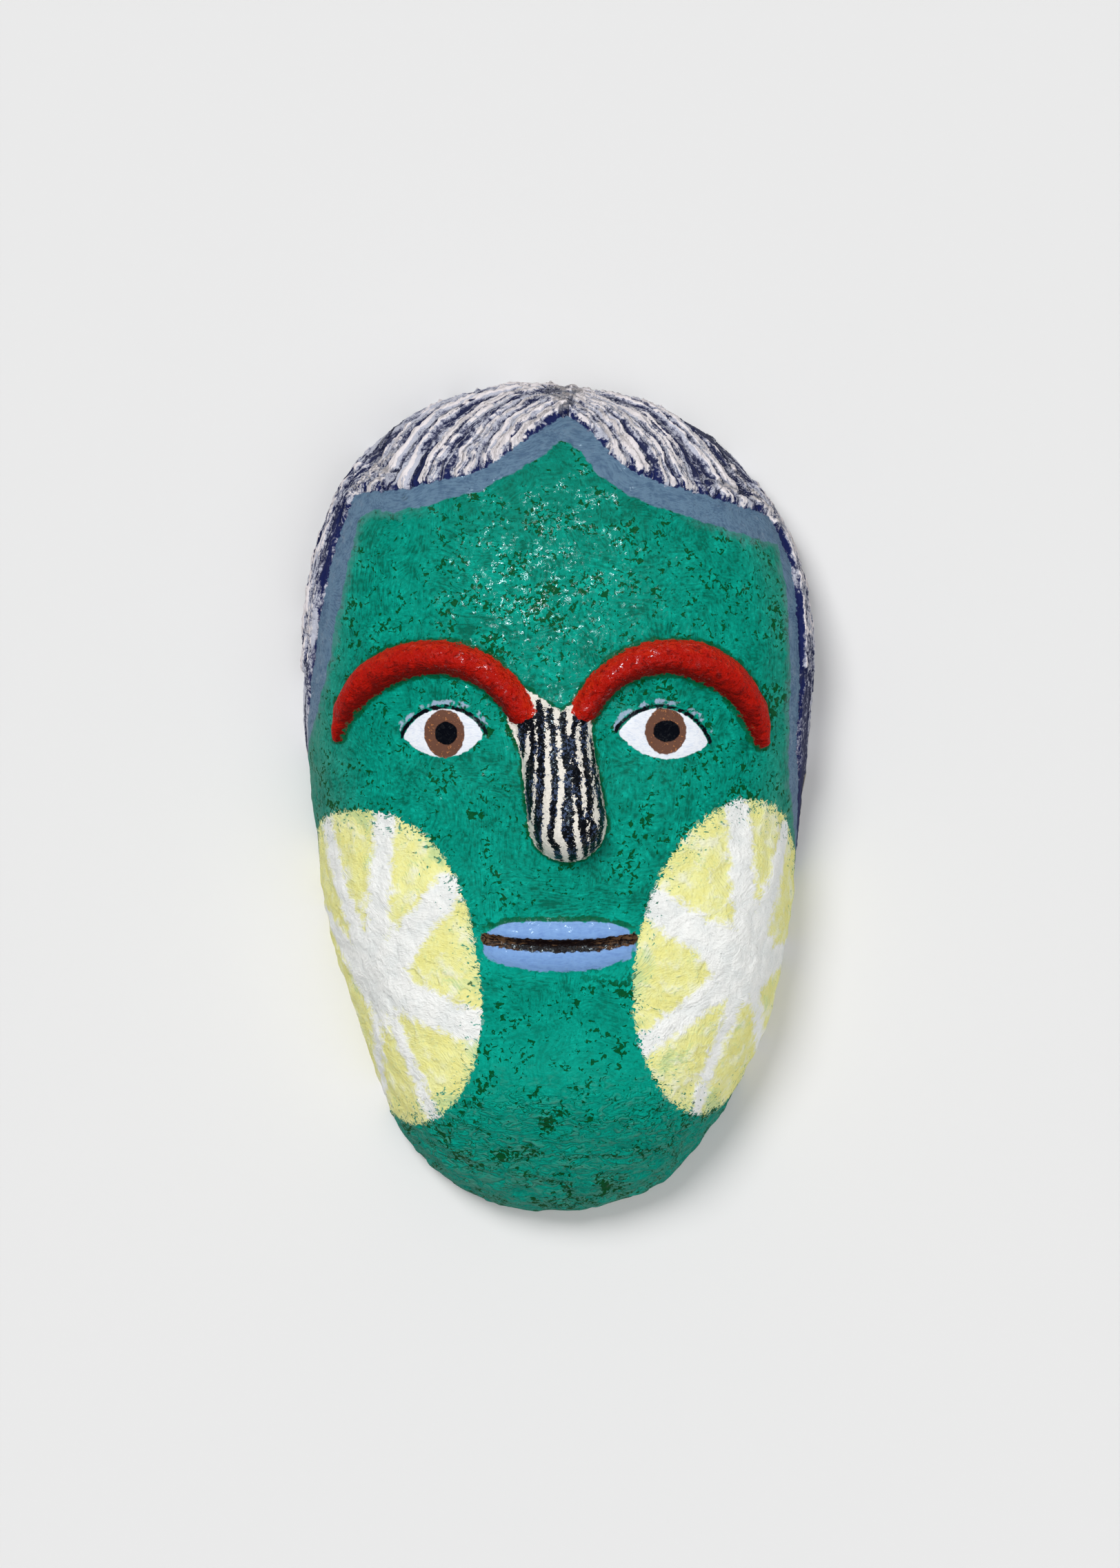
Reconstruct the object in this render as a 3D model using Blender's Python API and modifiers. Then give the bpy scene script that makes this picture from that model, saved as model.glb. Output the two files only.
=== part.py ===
"""A papier-mache face mask: one hollow shell of paper pulp, with the brows, nose, lips and combed hair built up on it.

It lies face up on its cut rim, in metres: +Z points out of the face, +Y to the crown of the head, +X to the
viewer's right, and the origin is under the middle of its box, in the plane of the rim.
"""

import math

import bmesh
import bpy
import numpy as np
from mathutils import Vector, noise

MM = 0.001

# Overall sizes
WIDTH = 184.0 * MM
LENGTH = 300.0 * MM
CROWN_DEPTH = 70.0 * MM  # from the rim plane up to the skin between the brows
WALL = 6.0 * MM

# Heights of what is built up on the shell
BROW_HEIGHT = 6.5 * MM
NOSE_TIP_HEIGHT = 18.0 * MM
NOSE_BRIDGE_HEIGHT = 6.0 * MM
LIP_HEIGHT = 3.0 * MM
MOUTH_GROOVE = 2.4 * MM
EYE_BULGE = 2.0 * MM
SOCKET_DEPTH = 4.0 * MM
CHEEK_BULGE = 2.6 * MM
CHIN_BOSS = 5.0 * MM
HAIR_PAD = 1.2 * MM
STROKE_HEIGHT = 1.9 * MM
STROKE_RADIUS = 2.4 * MM
STROKE_FULLNESS = 0.7
LUMP_HEIGHT = 0.9 * MM
SLOW_LUMP = 24.0 * MM
QUICK_LUMP = 10.0 * MM

# Carving is placed in millimetres on a face of this size, and stretches with WIDTH and LENGTH
DRAWN_WIDTH = 184.0
DRAWN_LENGTH = 300.0

# The outline is an egg: superellipse quadrants round a centre at the widest level, with a few hand-made lumps
WIDEST_LEVEL = 0.653  # share of the length, from the chin
CORNER_POWERS = {"upper_left": 2.5, "upper_right": 2.08, "lower_left": 2.22, "lower_right": 2.3}
OUTLINE_LUMPS = (  # direction in degrees, outward reach in mm, spread in degrees
    (76.0, -2.4, 20.0),
    (120.0, 1.1, 10.0),
    (212.0, -1.6, 9.0),
    (239.0, -4.0, 8.0),
    (252.0, 2.4, 7.0),
    (281.0, 1.6, 3.0),
    (300.0, 1.2, 3.0),
    (326.0, -3.2, 12.0),
)
PROFILE_POWER = 2.4  # how squarely the face turns over into its sides

# Where the hair begins: direction round the face's centre, and tilt away from its apex, in degrees
HAIRLINE = (
    (-41.0, 92.0),
    (-31.0, 84.0),
    (-19.0, 70.0),
    (-9.0, 70.0),
    (3.0, 69.0),
    (15.0, 70.0),
    (27.0, 75.0),
    (36.0, 74.0),
    (41.0, 63.5),
    (46.0, 56.5),
    (53.0, 50.0),
    (60.0, 45.5),
    (68.0, 44.5),
    (75.0, 46.5),
    (81.0, 53.0),
    (88.0, 62.0),
    (95.0, 53.5),
    (103.0, 46.5),
    (110.0, 43.0),
    (117.0, 43.0),
    (124.0, 46.0),
    (130.0, 49.5),
    (135.0, 58.0),
    (139.0, 68.0),
    (148.0, 66.0),
    (164.0, 66.5),
    (179.0, 74.0),
    (189.0, 79.0),
    (200.0, 92.0),
)
PARTING = 89.0
RIM_TILT = 90.0

# The comb strokes: a fan on each side of the parting, then strands along each temple
FAN_STROKES = 13
FAN_TURN = (7.0, 50.0)  # the first and the last stroke's sweep round the head, in degrees
TEMPLE_STRANDS = 5
TEMPLE_START = 46.0
TEMPLE_TURN = 46.0
STROKE_POINTS = 14
STROKE_SEED = 7

# Brows: arcs from their inner ends to their tips, with half widths on the way
BROWS = (
    {
        "centre": (-45.4, 15.5),
        "radius": 35.3,
        "inner": 27.0,
        "outer": 169.5,
        "half_widths": (4.8, 5.6, 6.0, 6.1, 6.3, 6.2, 4.8, 1.6),
    },
    {
        "centre": (39.9, 17.4),
        "radius": 33.5,
        "inner": 151.5,
        "outer": 5.0,
        "half_widths": (4.5, 5.3, 5.8, 6.3, 6.9, 6.2, 5.2, 2.8),
    },
)
BROW_FULLNESS = 0.8
BROW_CREST_SHIFT = 0.22  # the crest sits low, over the eye, as a share of the half width

NOSE_LINE = ((-2.2, 28.0), (3.4, -9.6))
NOSE_HALF_WIDTHS = (13.4, 13.2, 13.9, 14.4)
NOSE_FULLNESS = 0.6

# Each eye: its middle, half width, lid rise, lower lid drop and lean in degrees
EYES = (
    {"centre": (-42.2, 22.1), "half_width": 14.8, "rise": 10.0, "drop": 7.6, "lean": 1.4},
    {"centre": (38.3, 21.2), "half_width": 16.6, "rise": 11.0, "drop": 7.2, "lean": -7.5},
)

MOUTH_CENTRE = (0.2, -54.1)
MOUTH_HALF_WIDTH = 27.5
MOUTH_HALF_HEIGHT = 9.2
MOUTH_SAG = 2.6  # how far the line between the lips dips between its ends
MOUTH_LINE_SPREAD = 1.6

SOCKET_SPREAD = (22.0, 13.0)
CHEEK_CENTRES = ((-58.0, -58.0), (60.0, -58.0))
CHEEK_SPREAD = (30.0, 42.0)
CHIN_CENTRE = (2.0, -110.0)
CHIN_SPREAD = (42.0, 15.0)

# Mesh density before the facets are thinned out, and how many are kept
GRID_STEPS = 216
FACET_SHARE = 0.051
RIM_TOLERANCE = 0.1 * MM


def smooth_step(value, low, high):
    """0 below low, 1 above high and an even turn between."""
    share = np.clip((value - low) / (high - low), 0.0, 1.0)
    return share * share * (3.0 - 2.0 * share)


def round_hump(share, fullness):
    """A rounded cross-section: 1 on the line, 0 from share 1 outwards, and steeper sided as fullness nears 0."""
    return np.clip(1.0 - share * share, 0.0, 1.0) ** fullness


def drawn_place(points):
    """Where points lie on the drawn face, in its millimetres."""
    return points[:, 0] * DRAWN_WIDTH / WIDTH, points[:, 1] * DRAWN_LENGTH / LENGTH


def soft_hump(x, y, centre, spread):
    """A round swelling that fades out evenly."""
    return np.exp(-(((x - centre[0]) / spread[0]) ** 2) - ((y - centre[1]) / spread[1]) ** 2)


def corner_power(direction):
    """The superellipse power at each direction, turning evenly from one quadrant to the next."""
    right = np.clip(0.5 + math.sqrt(0.5) * np.cos(direction), 0.0, 1.0)
    upper = np.clip(0.5 + math.sqrt(0.5) * np.sin(direction), 0.0, 1.0)
    low = (1.0 - right) * CORNER_POWERS["lower_left"] + right * CORNER_POWERS["lower_right"]
    high = (1.0 - right) * CORNER_POWERS["upper_left"] + right * CORNER_POWERS["upper_right"]
    return (1.0 - upper) * low + upper * high


def outline_radius(direction):
    """The rim's outer radius round the face's centre, in metres."""
    across, along = np.abs(np.cos(direction)), np.abs(np.sin(direction))
    reach = np.where(np.sin(direction) > 0.0, (1.0 - WIDEST_LEVEL) * LENGTH, WIDEST_LEVEL * LENGTH)
    power = corner_power(direction)
    radius = ((across / (WIDTH / 2)) ** power + (along / reach) ** power) ** (-1.0 / power)
    degrees = np.degrees(direction)
    for towards, outward, spread in OUTLINE_LUMPS:
        away = (degrees - towards + 180.0) % 360.0 - 180.0
        radius = radius + outward * MM * np.exp(-((away / spread) ** 2))
    return radius


def shell_point(direction, tilt, inset):
    """Points of the bare dome: direction round the face and tilt away from its apex, set in by a depth."""
    fall = 2.0 / PROFILE_POWER
    spread = (outline_radius(direction) - inset) * np.sin(tilt) ** fall
    height = (CROWN_DEPTH - inset) * np.clip(np.cos(tilt), 0.0, 1.0) ** fall
    widest = (WIDEST_LEVEL - 0.5) * LENGTH
    return np.stack([spread * np.cos(direction), widest + spread * np.sin(direction), height], 1)


def brow_lift(x, y, brow):
    """How much of the brow's height stands at each place."""
    offset_x, offset_y = x - brow["centre"][0], y - brow["centre"][1]
    angle = np.degrees(np.arctan2(offset_y, offset_x))
    angle = np.where(angle < -90.0, angle + 360.0, angle)
    along = np.clip((angle - brow["inner"]) / (brow["outer"] - brow["inner"]), 0.0, 1.0)
    nearest = np.radians(brow["inner"] + along * (brow["outer"] - brow["inner"]))
    away_x = offset_x - brow["radius"] * np.cos(nearest)
    away_y = offset_y - brow["radius"] * np.sin(nearest)
    stations = np.linspace(0.0, 1.0, len(brow["half_widths"]))
    half = np.interp(along, stations, brow["half_widths"])
    outward = np.hypot(offset_x, offset_y) - brow["radius"] + BROW_CREST_SHIFT * half
    sideways = np.hypot(away_x, away_y)
    beyond = (along <= 0.0) | (along >= 1.0)
    slope = np.where(outward > 0.0, 1.0 + BROW_CREST_SHIFT, 1.0 - BROW_CREST_SHIFT)
    share = np.where(beyond, sideways, np.abs(outward) / slope) / half
    return round_hump(share, BROW_FULLNESS) * (half / max(brow["half_widths"])) ** 0.5


def nose_lift(x, y):
    """The nose's height above the face: a finger that thickens and rises to its round tip."""
    (top_x, top_y), (tip_x, tip_y) = NOSE_LINE
    run_x, run_y = tip_x - top_x, tip_y - top_y
    along = np.clip(((x - top_x) * run_x + (y - top_y) * run_y) / (run_x**2 + run_y**2), 0.0, 1.0)
    half = np.interp(along, np.linspace(0.0, 1.0, len(NOSE_HALF_WIDTHS)), NOSE_HALF_WIDTHS)
    away = np.hypot(x - top_x - along * run_x, y - top_y - along * run_y)
    height = NOSE_BRIDGE_HEIGHT + (NOSE_TIP_HEIGHT - NOSE_BRIDGE_HEIGHT) * along**1.2
    top_end = smooth_step(-(y - top_y), -0.7 * NOSE_HALF_WIDTHS[0], 0.0)
    return height * round_hump(away / half, NOSE_FULLNESS) * top_end


def lip_lift(x, y):
    """The two lips' swelling, less the groove of the mouth between them."""
    across = (x - MOUTH_CENTRE[0]) / MOUTH_HALF_WIDTH
    upward = (y - MOUTH_CENTRE[1]) / MOUTH_HALF_HEIGHT
    swell = np.clip(1.0 - np.abs(across) ** 2.6 - np.abs(upward) ** 2.2, 0.0, 1.0) ** 0.55
    line = MOUTH_CENTRE[1] + MOUTH_SAG * across**2
    groove = np.exp(-(((y - line) / MOUTH_LINE_SPREAD) ** 2)) * smooth_step(-np.abs(across), -1.0, -0.8)
    return LIP_HEIGHT * swell - MOUTH_GROOVE * groove


def eye_lift(x, y, eye):
    """The eyeball's almond swelling."""
    lean = math.radians(eye["lean"])
    offset_x, offset_y = x - eye["centre"][0], y - eye["centre"][1]
    across = offset_x * math.cos(lean) + offset_y * math.sin(lean)
    upward = offset_y * math.cos(lean) - offset_x * math.sin(lean)
    reach = np.where(upward > 0.0, eye["rise"], eye["drop"])
    share = (across / eye["half_width"]) ** 2 + (upward / reach) ** 2
    return EYE_BULGE * np.clip(1.0 - share, 0.0, 1.0) ** 0.7


def broad_form(points):
    """The swellings that the shell itself has, inside and out, fading out towards the rim."""
    x, y = drawn_place(points)
    lift = np.zeros_like(x)
    for eye in EYES:
        lift -= SOCKET_DEPTH * soft_hump(x, y, eye["centre"], SOCKET_SPREAD)
    for centre in CHEEK_CENTRES:
        lift += CHEEK_BULGE * soft_hump(x, y, centre, CHEEK_SPREAD)
    lift += CHIN_BOSS * soft_hump(x, y, CHIN_CENTRE, CHIN_SPREAD)
    return lift * smooth_step(points[:, 2], 0.0, 0.55 * CROWN_DEPTH)


def built_up(points):
    """What is modelled on the outside alone."""
    x, y = drawn_place(points)
    brows = np.maximum(*(brow_lift(x, y, brow) for brow in BROWS)) * BROW_HEIGHT
    lift = np.maximum(brows, nose_lift(x, y)) + lip_lift(x, y)
    for eye in EYES:
        lift += eye_lift(x, y, eye)
    return lift


def hair_tilt(direction):
    """The tilt at which the hair begins, in degrees, for each direction in degrees."""
    turned = (direction + 90.0) % 360.0 - 90.0
    return np.interp(turned, *zip(*HAIRLINE), left=RIM_TILT + 2.0, right=RIM_TILT + 2.0)


def stroke_paths():
    """The combed strokes as lists of points on the dome: a fan from the parting, then strands down each side."""
    chance = np.random.default_rng(STROKE_SEED)
    share = np.linspace(0.0, 1.0, STROKE_POINTS)
    paths = []
    for side in (1.0, -1.0):
        for number in range(FAN_STROKES):
            rank = (number + 0.5) / FAN_STROKES
            start = PARTING + side * chance.uniform(-5.0, 2.0)
            turn = FAN_TURN[0] + (FAN_TURN[1] - FAN_TURN[0]) * rank + chance.uniform(-1.5, 1.5)
            first = 0.08 + 0.9 * rank
            level = first * (1.0 - share ** (1.2 + rank))
            paths.append((start + side * turn * share, level))
        for number in range(TEMPLE_STRANDS):
            rank = (number + 0.5) / TEMPLE_STRANDS
            start = PARTING + side * (TEMPLE_START + chance.uniform(-4.0, 4.0))
            turn = TEMPLE_TURN + chance.uniform(-8.0, 8.0)
            level = 0.1 + 0.85 * rank - 0.1 * share
            paths.append((start + side * turn * share, level))
    placed = []
    for direction, level in paths:
        begins = np.minimum(hair_tilt(direction) + 2.0, RIM_TILT)
        tilt = begins + level * (RIM_TILT - begins)
        placed.append(shell_point(np.radians(direction), np.radians(tilt), 0.0))
    return placed


def distance_to_path(points, path):
    """Each point's distance to a run of straight lines, and its share of the way along it."""
    best = np.full(len(points), np.inf)
    place = np.zeros(len(points))
    for number, (first, second) in enumerate(zip(path[:-1], path[1:])):
        run = second - first
        along = np.clip((points - first) @ run / max(run @ run, MM**3), 0.0, 1.0)
        away = np.linalg.norm(points - first - along[:, None] * run, axis=1)
        nearer = away < best
        best[nearer] = away[nearer]
        place[nearer] = (number + along[nearer]) / (len(path) - 1)
    return best, place


def hair_lift(points, direction, tilt):
    """The hair's pad and the thick strokes combed over it."""
    begins = hair_tilt(np.degrees(direction))
    inside = smooth_step(np.degrees(tilt) - begins, -0.5, 2.5)
    near = np.flatnonzero(inside > 0.0)
    ridge = np.zeros(len(points))
    for path in stroke_paths():
        away, share = distance_to_path(points[near], path)
        radius = STROKE_RADIUS * (0.75 + 0.35 * share)
        ridge[near] = np.maximum(ridge[near], round_hump(away / radius, STROKE_FULLNESS))
    drawn_in = (HAIR_PAD + 0.5 * STROKE_HEIGHT) * smooth_step(np.degrees(tilt), 60.0, RIM_TILT)
    return inside * (HAIR_PAD + STROKE_HEIGHT * ridge - drawn_in)


def lumps(points):
    """The hand-laid pulp's slow unevenness."""
    slow = [noise.noise(Vector(point) / SLOW_LUMP) for point in points]
    quick = [noise.noise(Vector(point) / QUICK_LUMP) for point in points]
    return LUMP_HEIGHT * (np.array(slow) + 0.4 * np.array(quick))


def flat_sheet(collection):
    """An open square sheet of even quads, two units wide, to be wrapped over the dome."""
    mesh = bpy.data.meshes.new("sheet")
    sheet = bmesh.new()
    bmesh.ops.create_grid(sheet, x_segments=GRID_STEPS, y_segments=GRID_STEPS, size=1.0)
    sheet.to_mesh(mesh)
    sheet.free()
    shell = bpy.data.objects.new("mask", mesh)
    collection.objects.link(shell)
    return shell


def dome_angles(sheet):
    """Each point of the sheet as a direction round the dome and a tilt from its apex; its edge becomes the rim."""
    across, along = sheet[:, 0], sheet[:, 1]
    ring = np.maximum(np.abs(across), np.abs(along))
    inner = np.minimum(np.abs(across), np.abs(along))
    turn = math.pi / 4 * inner / np.maximum(ring, 1e-9)
    turn = np.where(np.abs(across) >= np.abs(along), turn, math.pi / 2 - turn)
    reach = np.where(along > 0.0, 1.0 - WIDEST_LEVEL, WIDEST_LEVEL) * LENGTH
    side = np.copysign(np.cos(turn), across) * WIDTH / 2
    return np.arctan2(np.copysign(np.sin(turn), along) * reach, side), ring * math.pi / 2


def coordinates(mesh):
    """The mesh's points as an array."""
    points = np.empty(len(mesh.vertices) * 3, np.float32)
    mesh.vertices.foreach_get("co", points)
    return points.reshape(-1, 3).astype(float)


def place(mesh, points):
    """Moves the mesh's points to these places."""
    mesh.vertices.foreach_set("co", points.astype(np.float32).ravel())
    mesh.update()


def outward_normals(mesh):
    """The mesh's own normal at each point."""
    normals = np.empty(len(mesh.vertices) * 3, np.float32)
    mesh.vertex_normals.foreach_get("vector", normals)
    return normals.reshape(-1, 3).astype(float)


def two_skins(shell):
    """Makes the sheet one closed shell: an outer and an inner skin, joined along the rim."""
    thick = shell.modifiers.new("two skins", "SOLIDIFY")
    thick.thickness = 0.1
    thick.offset = -1.0
    graph = bpy.context.evaluated_depsgraph_get()
    shell.data = bpy.data.meshes.new_from_object(shell.evaluated_get(graph))
    shell.modifiers.clear()


def shape(shell, direction, tilt):
    """Lays the outer skin with all its carving, and the inner skin one wall below the bare form."""
    outer = shell_point(direction, tilt, 0.0)
    inner = shell_point(direction, tilt, WALL)
    place(shell.data, np.concatenate([outer, inner]))
    outer_normals, inner_normals = np.split(outward_normals(shell.data), 2)
    at_rim = tilt > math.pi / 2 - 1e-6
    outer_normals[at_rim, 2] = 0.0
    inner_normals[at_rim, 2] = 0.0
    lift = broad_form(outer) + built_up(outer) + hair_lift(outer, direction, tilt) + lumps(outer)
    outer += outer_normals * lift[:, None]
    inner -= inner_normals * broad_form(inner)[:, None]
    both = np.concatenate([outer, inner])
    middle = (both.min(0) + both.max(0)) / 2
    both[:, :2] -= middle[:2]
    place(shell.data, both)


def thin_out(shell):
    """Keeps the facets that the form needs, and trues the rim to one flat plane."""
    facets = shell.modifiers.new("facets", "DECIMATE")
    facets.ratio = FACET_SHARE
    facets.use_collapse_triangulate = True
    graph = bpy.context.evaluated_depsgraph_get()
    shell.data = bpy.data.meshes.new_from_object(shell.evaluated_get(graph))
    shell.modifiers.clear()
    points = coordinates(shell.data)
    points[points[:, 2] < RIM_TOLERANCE, 2] = 0.0
    place(shell.data, points)


def painted_pulp():
    """Green paint over paper pulp."""
    material = bpy.data.materials.new("painted pulp")
    material.use_nodes = True
    surface = material.node_tree.nodes["Principled BSDF"]
    surface.inputs["Base Color"].default_value = (0.002, 0.262, 0.178, 1.0)
    surface.inputs["Roughness"].default_value = 0.45
    surface.inputs["Metallic"].default_value = 0.0
    return material


def main():
    """Builds the mask as one object."""
    for obj in list(bpy.data.objects):
        bpy.data.objects.remove(obj)
    collection = bpy.data.collections.new("papier mache mask")
    bpy.context.scene.collection.children.link(collection)
    shell = flat_sheet(collection)
    direction, tilt = dome_angles(coordinates(shell.data))
    two_skins(shell)
    shape(shell, direction, tilt)
    thin_out(shell)
    shell.data.materials.append(painted_pulp())
    shell.data.shade_smooth()


main()
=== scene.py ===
"""Dresses the papier-mache mask: the relief of its pulp, the painted face and the bare paper inside.

The mask lies face up on its rim, in the frame of the solids: +Z out of the face, +Y to the crown of the head.
Shapes are worked out in millimetres and become metres when a mesh is made.
"""

import logging
import math
from collections.abc import Iterable, Sequence
from dataclasses import dataclass, field
from enum import Enum

import bmesh
import bpy
import numpy as np
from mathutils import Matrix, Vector, noise

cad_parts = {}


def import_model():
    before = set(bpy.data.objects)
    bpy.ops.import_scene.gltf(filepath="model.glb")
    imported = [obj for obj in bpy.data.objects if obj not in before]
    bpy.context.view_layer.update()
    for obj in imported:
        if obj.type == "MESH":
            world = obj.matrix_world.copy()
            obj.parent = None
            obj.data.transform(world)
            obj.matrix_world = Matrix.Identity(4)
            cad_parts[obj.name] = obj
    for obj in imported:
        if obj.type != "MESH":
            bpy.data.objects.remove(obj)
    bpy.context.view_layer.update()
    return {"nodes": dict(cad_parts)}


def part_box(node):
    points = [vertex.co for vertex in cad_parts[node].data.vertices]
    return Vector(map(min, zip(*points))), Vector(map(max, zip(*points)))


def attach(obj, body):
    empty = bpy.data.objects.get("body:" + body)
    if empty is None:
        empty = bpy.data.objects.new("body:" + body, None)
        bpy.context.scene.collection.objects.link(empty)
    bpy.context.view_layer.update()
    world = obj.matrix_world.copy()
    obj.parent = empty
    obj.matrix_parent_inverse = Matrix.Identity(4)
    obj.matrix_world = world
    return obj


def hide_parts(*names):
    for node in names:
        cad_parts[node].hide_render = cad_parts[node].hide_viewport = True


MM = 0.001
NODE = "mask"
BODY = "root"
RIM_ANGLE_SLACK = 1e-6

Pair = tuple[float, float]
Knots = Sequence[Pair]
Colour = tuple[float, float, float]
Triple = tuple[float, float, float]

log = logging.getLogger("mask")


class Trace(Enum):
    """What the points of the outer skin carry for the paint: mostly millimetres inside an edge."""

    HAIR = "hair_edge"
    BAND = "band_edge"
    BROW = "brow_edge"
    BROW_UNDER = "brow_underside"
    NOSE = "nose_edge"
    STRIPE = "stripe_edge"
    WHITE = "eye_white_edge"
    IRIS = "iris_edge"
    PUPIL = "pupil_edge"
    LID = "lid_line_edge"
    LID_WASH = "lid_wash_edge"
    LIPS = "lips_edge"
    MOUTH = "mouth_line_edge"
    CHEEK = "cheek_edge"
    RAY = "ray_edge"
    RIDGE = "comb_ridge"
    COMB_ACROSS = "comb_across"
    COMB_ALONG = "comb_along"
    PIT = "pulp_pit"
    VARNISH = "varnish"


class Skin(Enum):
    """The two faces of the shell, numbered as their material slots."""

    OUTSIDE = 0
    INSIDE = 1


def smooth_step(value: np.ndarray, low: float, high: float) -> np.ndarray:
    """Turns evenly from 0 where the value is low to 1 where it is high."""
    share = np.clip((value - low) / (high - low), 0.0, 1.0)
    return share * share * (3.0 - 2.0 * share)


def round_hump(share: np.ndarray, fullness: float) -> np.ndarray:
    """Gives a rounded cross-section, 1 on the line and 0 from share 1 outwards, steeper near fullness 0."""
    return np.clip(1.0 - share * share, 0.0, 1.0) ** fullness


def pulp_noise(points: np.ndarray, size: float, shift: float = 0.0) -> np.ndarray:
    """Reads a smooth field between about -1 and 1, with lumps of this size in millimetres."""
    rows = (points / size + shift).tolist()
    return np.array([noise.noise(row) for row in rows])


@dataclass(frozen=True)
class HeadForm:
    """The bare egg-shaped dome that the pulp is laid over."""

    width: float = 184.0
    length: float = 300.0
    crown_depth: float = 70.0
    wall: float = 6.0
    widest_level: float = 0.653
    profile_power: float = 2.4
    corner_powers: tuple[float, float, float, float] = (2.5, 2.08, 2.22, 2.3)
    outline_lumps: tuple[Triple, ...] = (
        (76.0, -2.4, 20.0),
        (120.0, 1.1, 10.0),
        (212.0, -1.6, 9.0),
        (239.0, -2.4, 8.0),
        (252.0, 2.4, 7.0),
        (258.0, 2.0, 8.0),
        (281.0, 1.6, 3.0),
        (300.0, 1.2, 3.0),
        (326.0, -3.4, 12.0),
        (346.0, -1.2, 11.0),
    )
    eye_sockets: tuple[Pair, ...] = ((-42.2, 22.1), (38.3, 21.2))
    socket_depth: float = 4.0
    socket_spread: Pair = (22.0, 13.0)
    cheek_bulges: tuple[Pair, ...] = ((-58.0, -58.0), (60.0, -58.0))
    bulge_height: float = 2.6
    bulge_spread: Pair = (30.0, 42.0)
    chin_centre: Pair = (2.0, -110.0)
    chin_boss: float = 5.0
    chin_spread: Pair = (42.0, 15.0)
    lump_height: float = 0.9
    lump_sizes: Pair = (24.0, 10.0)
    small_lump_share: float = 0.4
    swelling_fade: float = 0.55

    @property
    def widest_y(self) -> float:
        """The level of the widest line above the middle of the length."""
        return (self.widest_level - 0.5) * self.length

    def outline_radius(self, direction: np.ndarray) -> np.ndarray:
        """Gives the rim's outer radius round the face's centre.

        Args:
            direction: angles round the face, in radians.

        Returns:
            One radius for each angle.
        """
        upper_left, upper_right, lower_left, lower_right = self.corner_powers
        right = np.clip(0.5 + math.sqrt(0.5) * np.cos(direction), 0.0, 1.0)
        upper = np.clip(0.5 + math.sqrt(0.5) * np.sin(direction), 0.0, 1.0)
        power = (1.0 - upper) * ((1.0 - right) * lower_left + right * lower_right)
        power = power + upper * ((1.0 - right) * upper_left + right * upper_right)
        share = np.where(np.sin(direction) > 0.0, 1.0 - self.widest_level, self.widest_level)
        across = np.abs(np.cos(direction)) / (self.width / 2)
        along = np.abs(np.sin(direction)) / (share * self.length)
        radius = (across**power + along**power) ** (-1.0 / power)
        for towards, outward, spread in self.outline_lumps:
            away = (np.degrees(direction) - towards + 180.0) % 360.0 - 180.0
            radius = radius + outward * np.exp(-((away / spread) ** 2))
        return radius

    def point(self, direction: np.ndarray, tilt: np.ndarray, inset: float = 0.0) -> np.ndarray:
        """Places points on the bare dome.

        Args:
            direction: angles round the face, in radians.
            tilt: angles away from the apex, in radians, with the rim at a right angle.
            inset: depth below the outer skin.

        Returns:
            One row of x, y and z for each pair of angles.
        """
        fall = 2.0 / self.profile_power
        spread = (self.outline_radius(direction) - inset) * np.sin(tilt) ** fall
        height = (self.crown_depth - inset) * np.clip(np.cos(tilt), 0.0, 1.0) ** fall
        return np.stack([spread * np.cos(direction), self.widest_y + spread * np.sin(direction), height], 1)

    def angles(self, sheet: np.ndarray) -> tuple[np.ndarray, np.ndarray]:
        """Wraps a square sheet over the dome.

        Args:
            sheet: places on a sheet two units wide; its edge becomes the rim.

        Returns:
            The direction and the tilt of each place, in radians.
        """
        across, along = sheet[:, 0], sheet[:, 1]
        ring = np.maximum(np.abs(across), np.abs(along))
        inner = np.minimum(np.abs(across), np.abs(along))
        turn = math.pi / 4 * inner / np.maximum(ring, 1e-9)
        turn = np.where(np.abs(across) >= np.abs(along), turn, math.pi / 2 - turn)
        reach = np.where(along > 0.0, 1.0 - self.widest_level, self.widest_level) * self.length
        side = np.copysign(np.cos(turn), across) * self.width / 2
        return np.arctan2(np.copysign(np.sin(turn), along) * reach, side), ring * math.pi / 2

    def unrolled(self, points: np.ndarray, direction: np.ndarray) -> np.ndarray:
        """Flattens the dome: each place goes to its straight distance from the apex, in its direction."""
        chord = np.linalg.norm(points - np.array([0.0, self.widest_y, self.crown_depth]), axis=1)
        return np.stack([chord * np.cos(direction), chord * np.sin(direction)], 1)

    def broad_form(self, points: np.ndarray) -> np.ndarray:
        """Gives the swellings that both skins share, which fade out towards the rim.

        Args:
            points: places on the bare dome.

        Returns:
            The outward lift of each.
        """
        lift = np.zeros(len(points))
        for centre in self.eye_sockets:
            lift -= self.socket_depth * self._swelling(points, centre, self.socket_spread)
        for centre in self.cheek_bulges:
            lift += self.bulge_height * self._swelling(points, centre, self.bulge_spread)
        lift += self.chin_boss * self._swelling(points, self.chin_centre, self.chin_spread)
        return lift * smooth_step(points[:, 2], 0.0, self.swelling_fade * self.crown_depth)

    def slow_lumps(self, points: np.ndarray) -> np.ndarray:
        """Gives the unevenness that the hand-laid pulp has from afar."""
        large, small = (pulp_noise(points, size) for size in self.lump_sizes)
        return self.lump_height * (large + self.small_lump_share * small)

    @staticmethod
    def _swelling(points: np.ndarray, centre: Pair, spread: Pair) -> np.ndarray:
        """Gives a round swelling of height 1 that fades out evenly.

        Args:
            points: places on the bare dome.
            centre: its middle.
            spread: how wide and how long it is.

        Returns:
            The height of each place.
        """
        across = (points[:, 0] - centre[0]) / spread[0]
        along = (points[:, 1] - centre[1]) / spread[1]
        return np.exp(-(across**2) - along**2)


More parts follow.
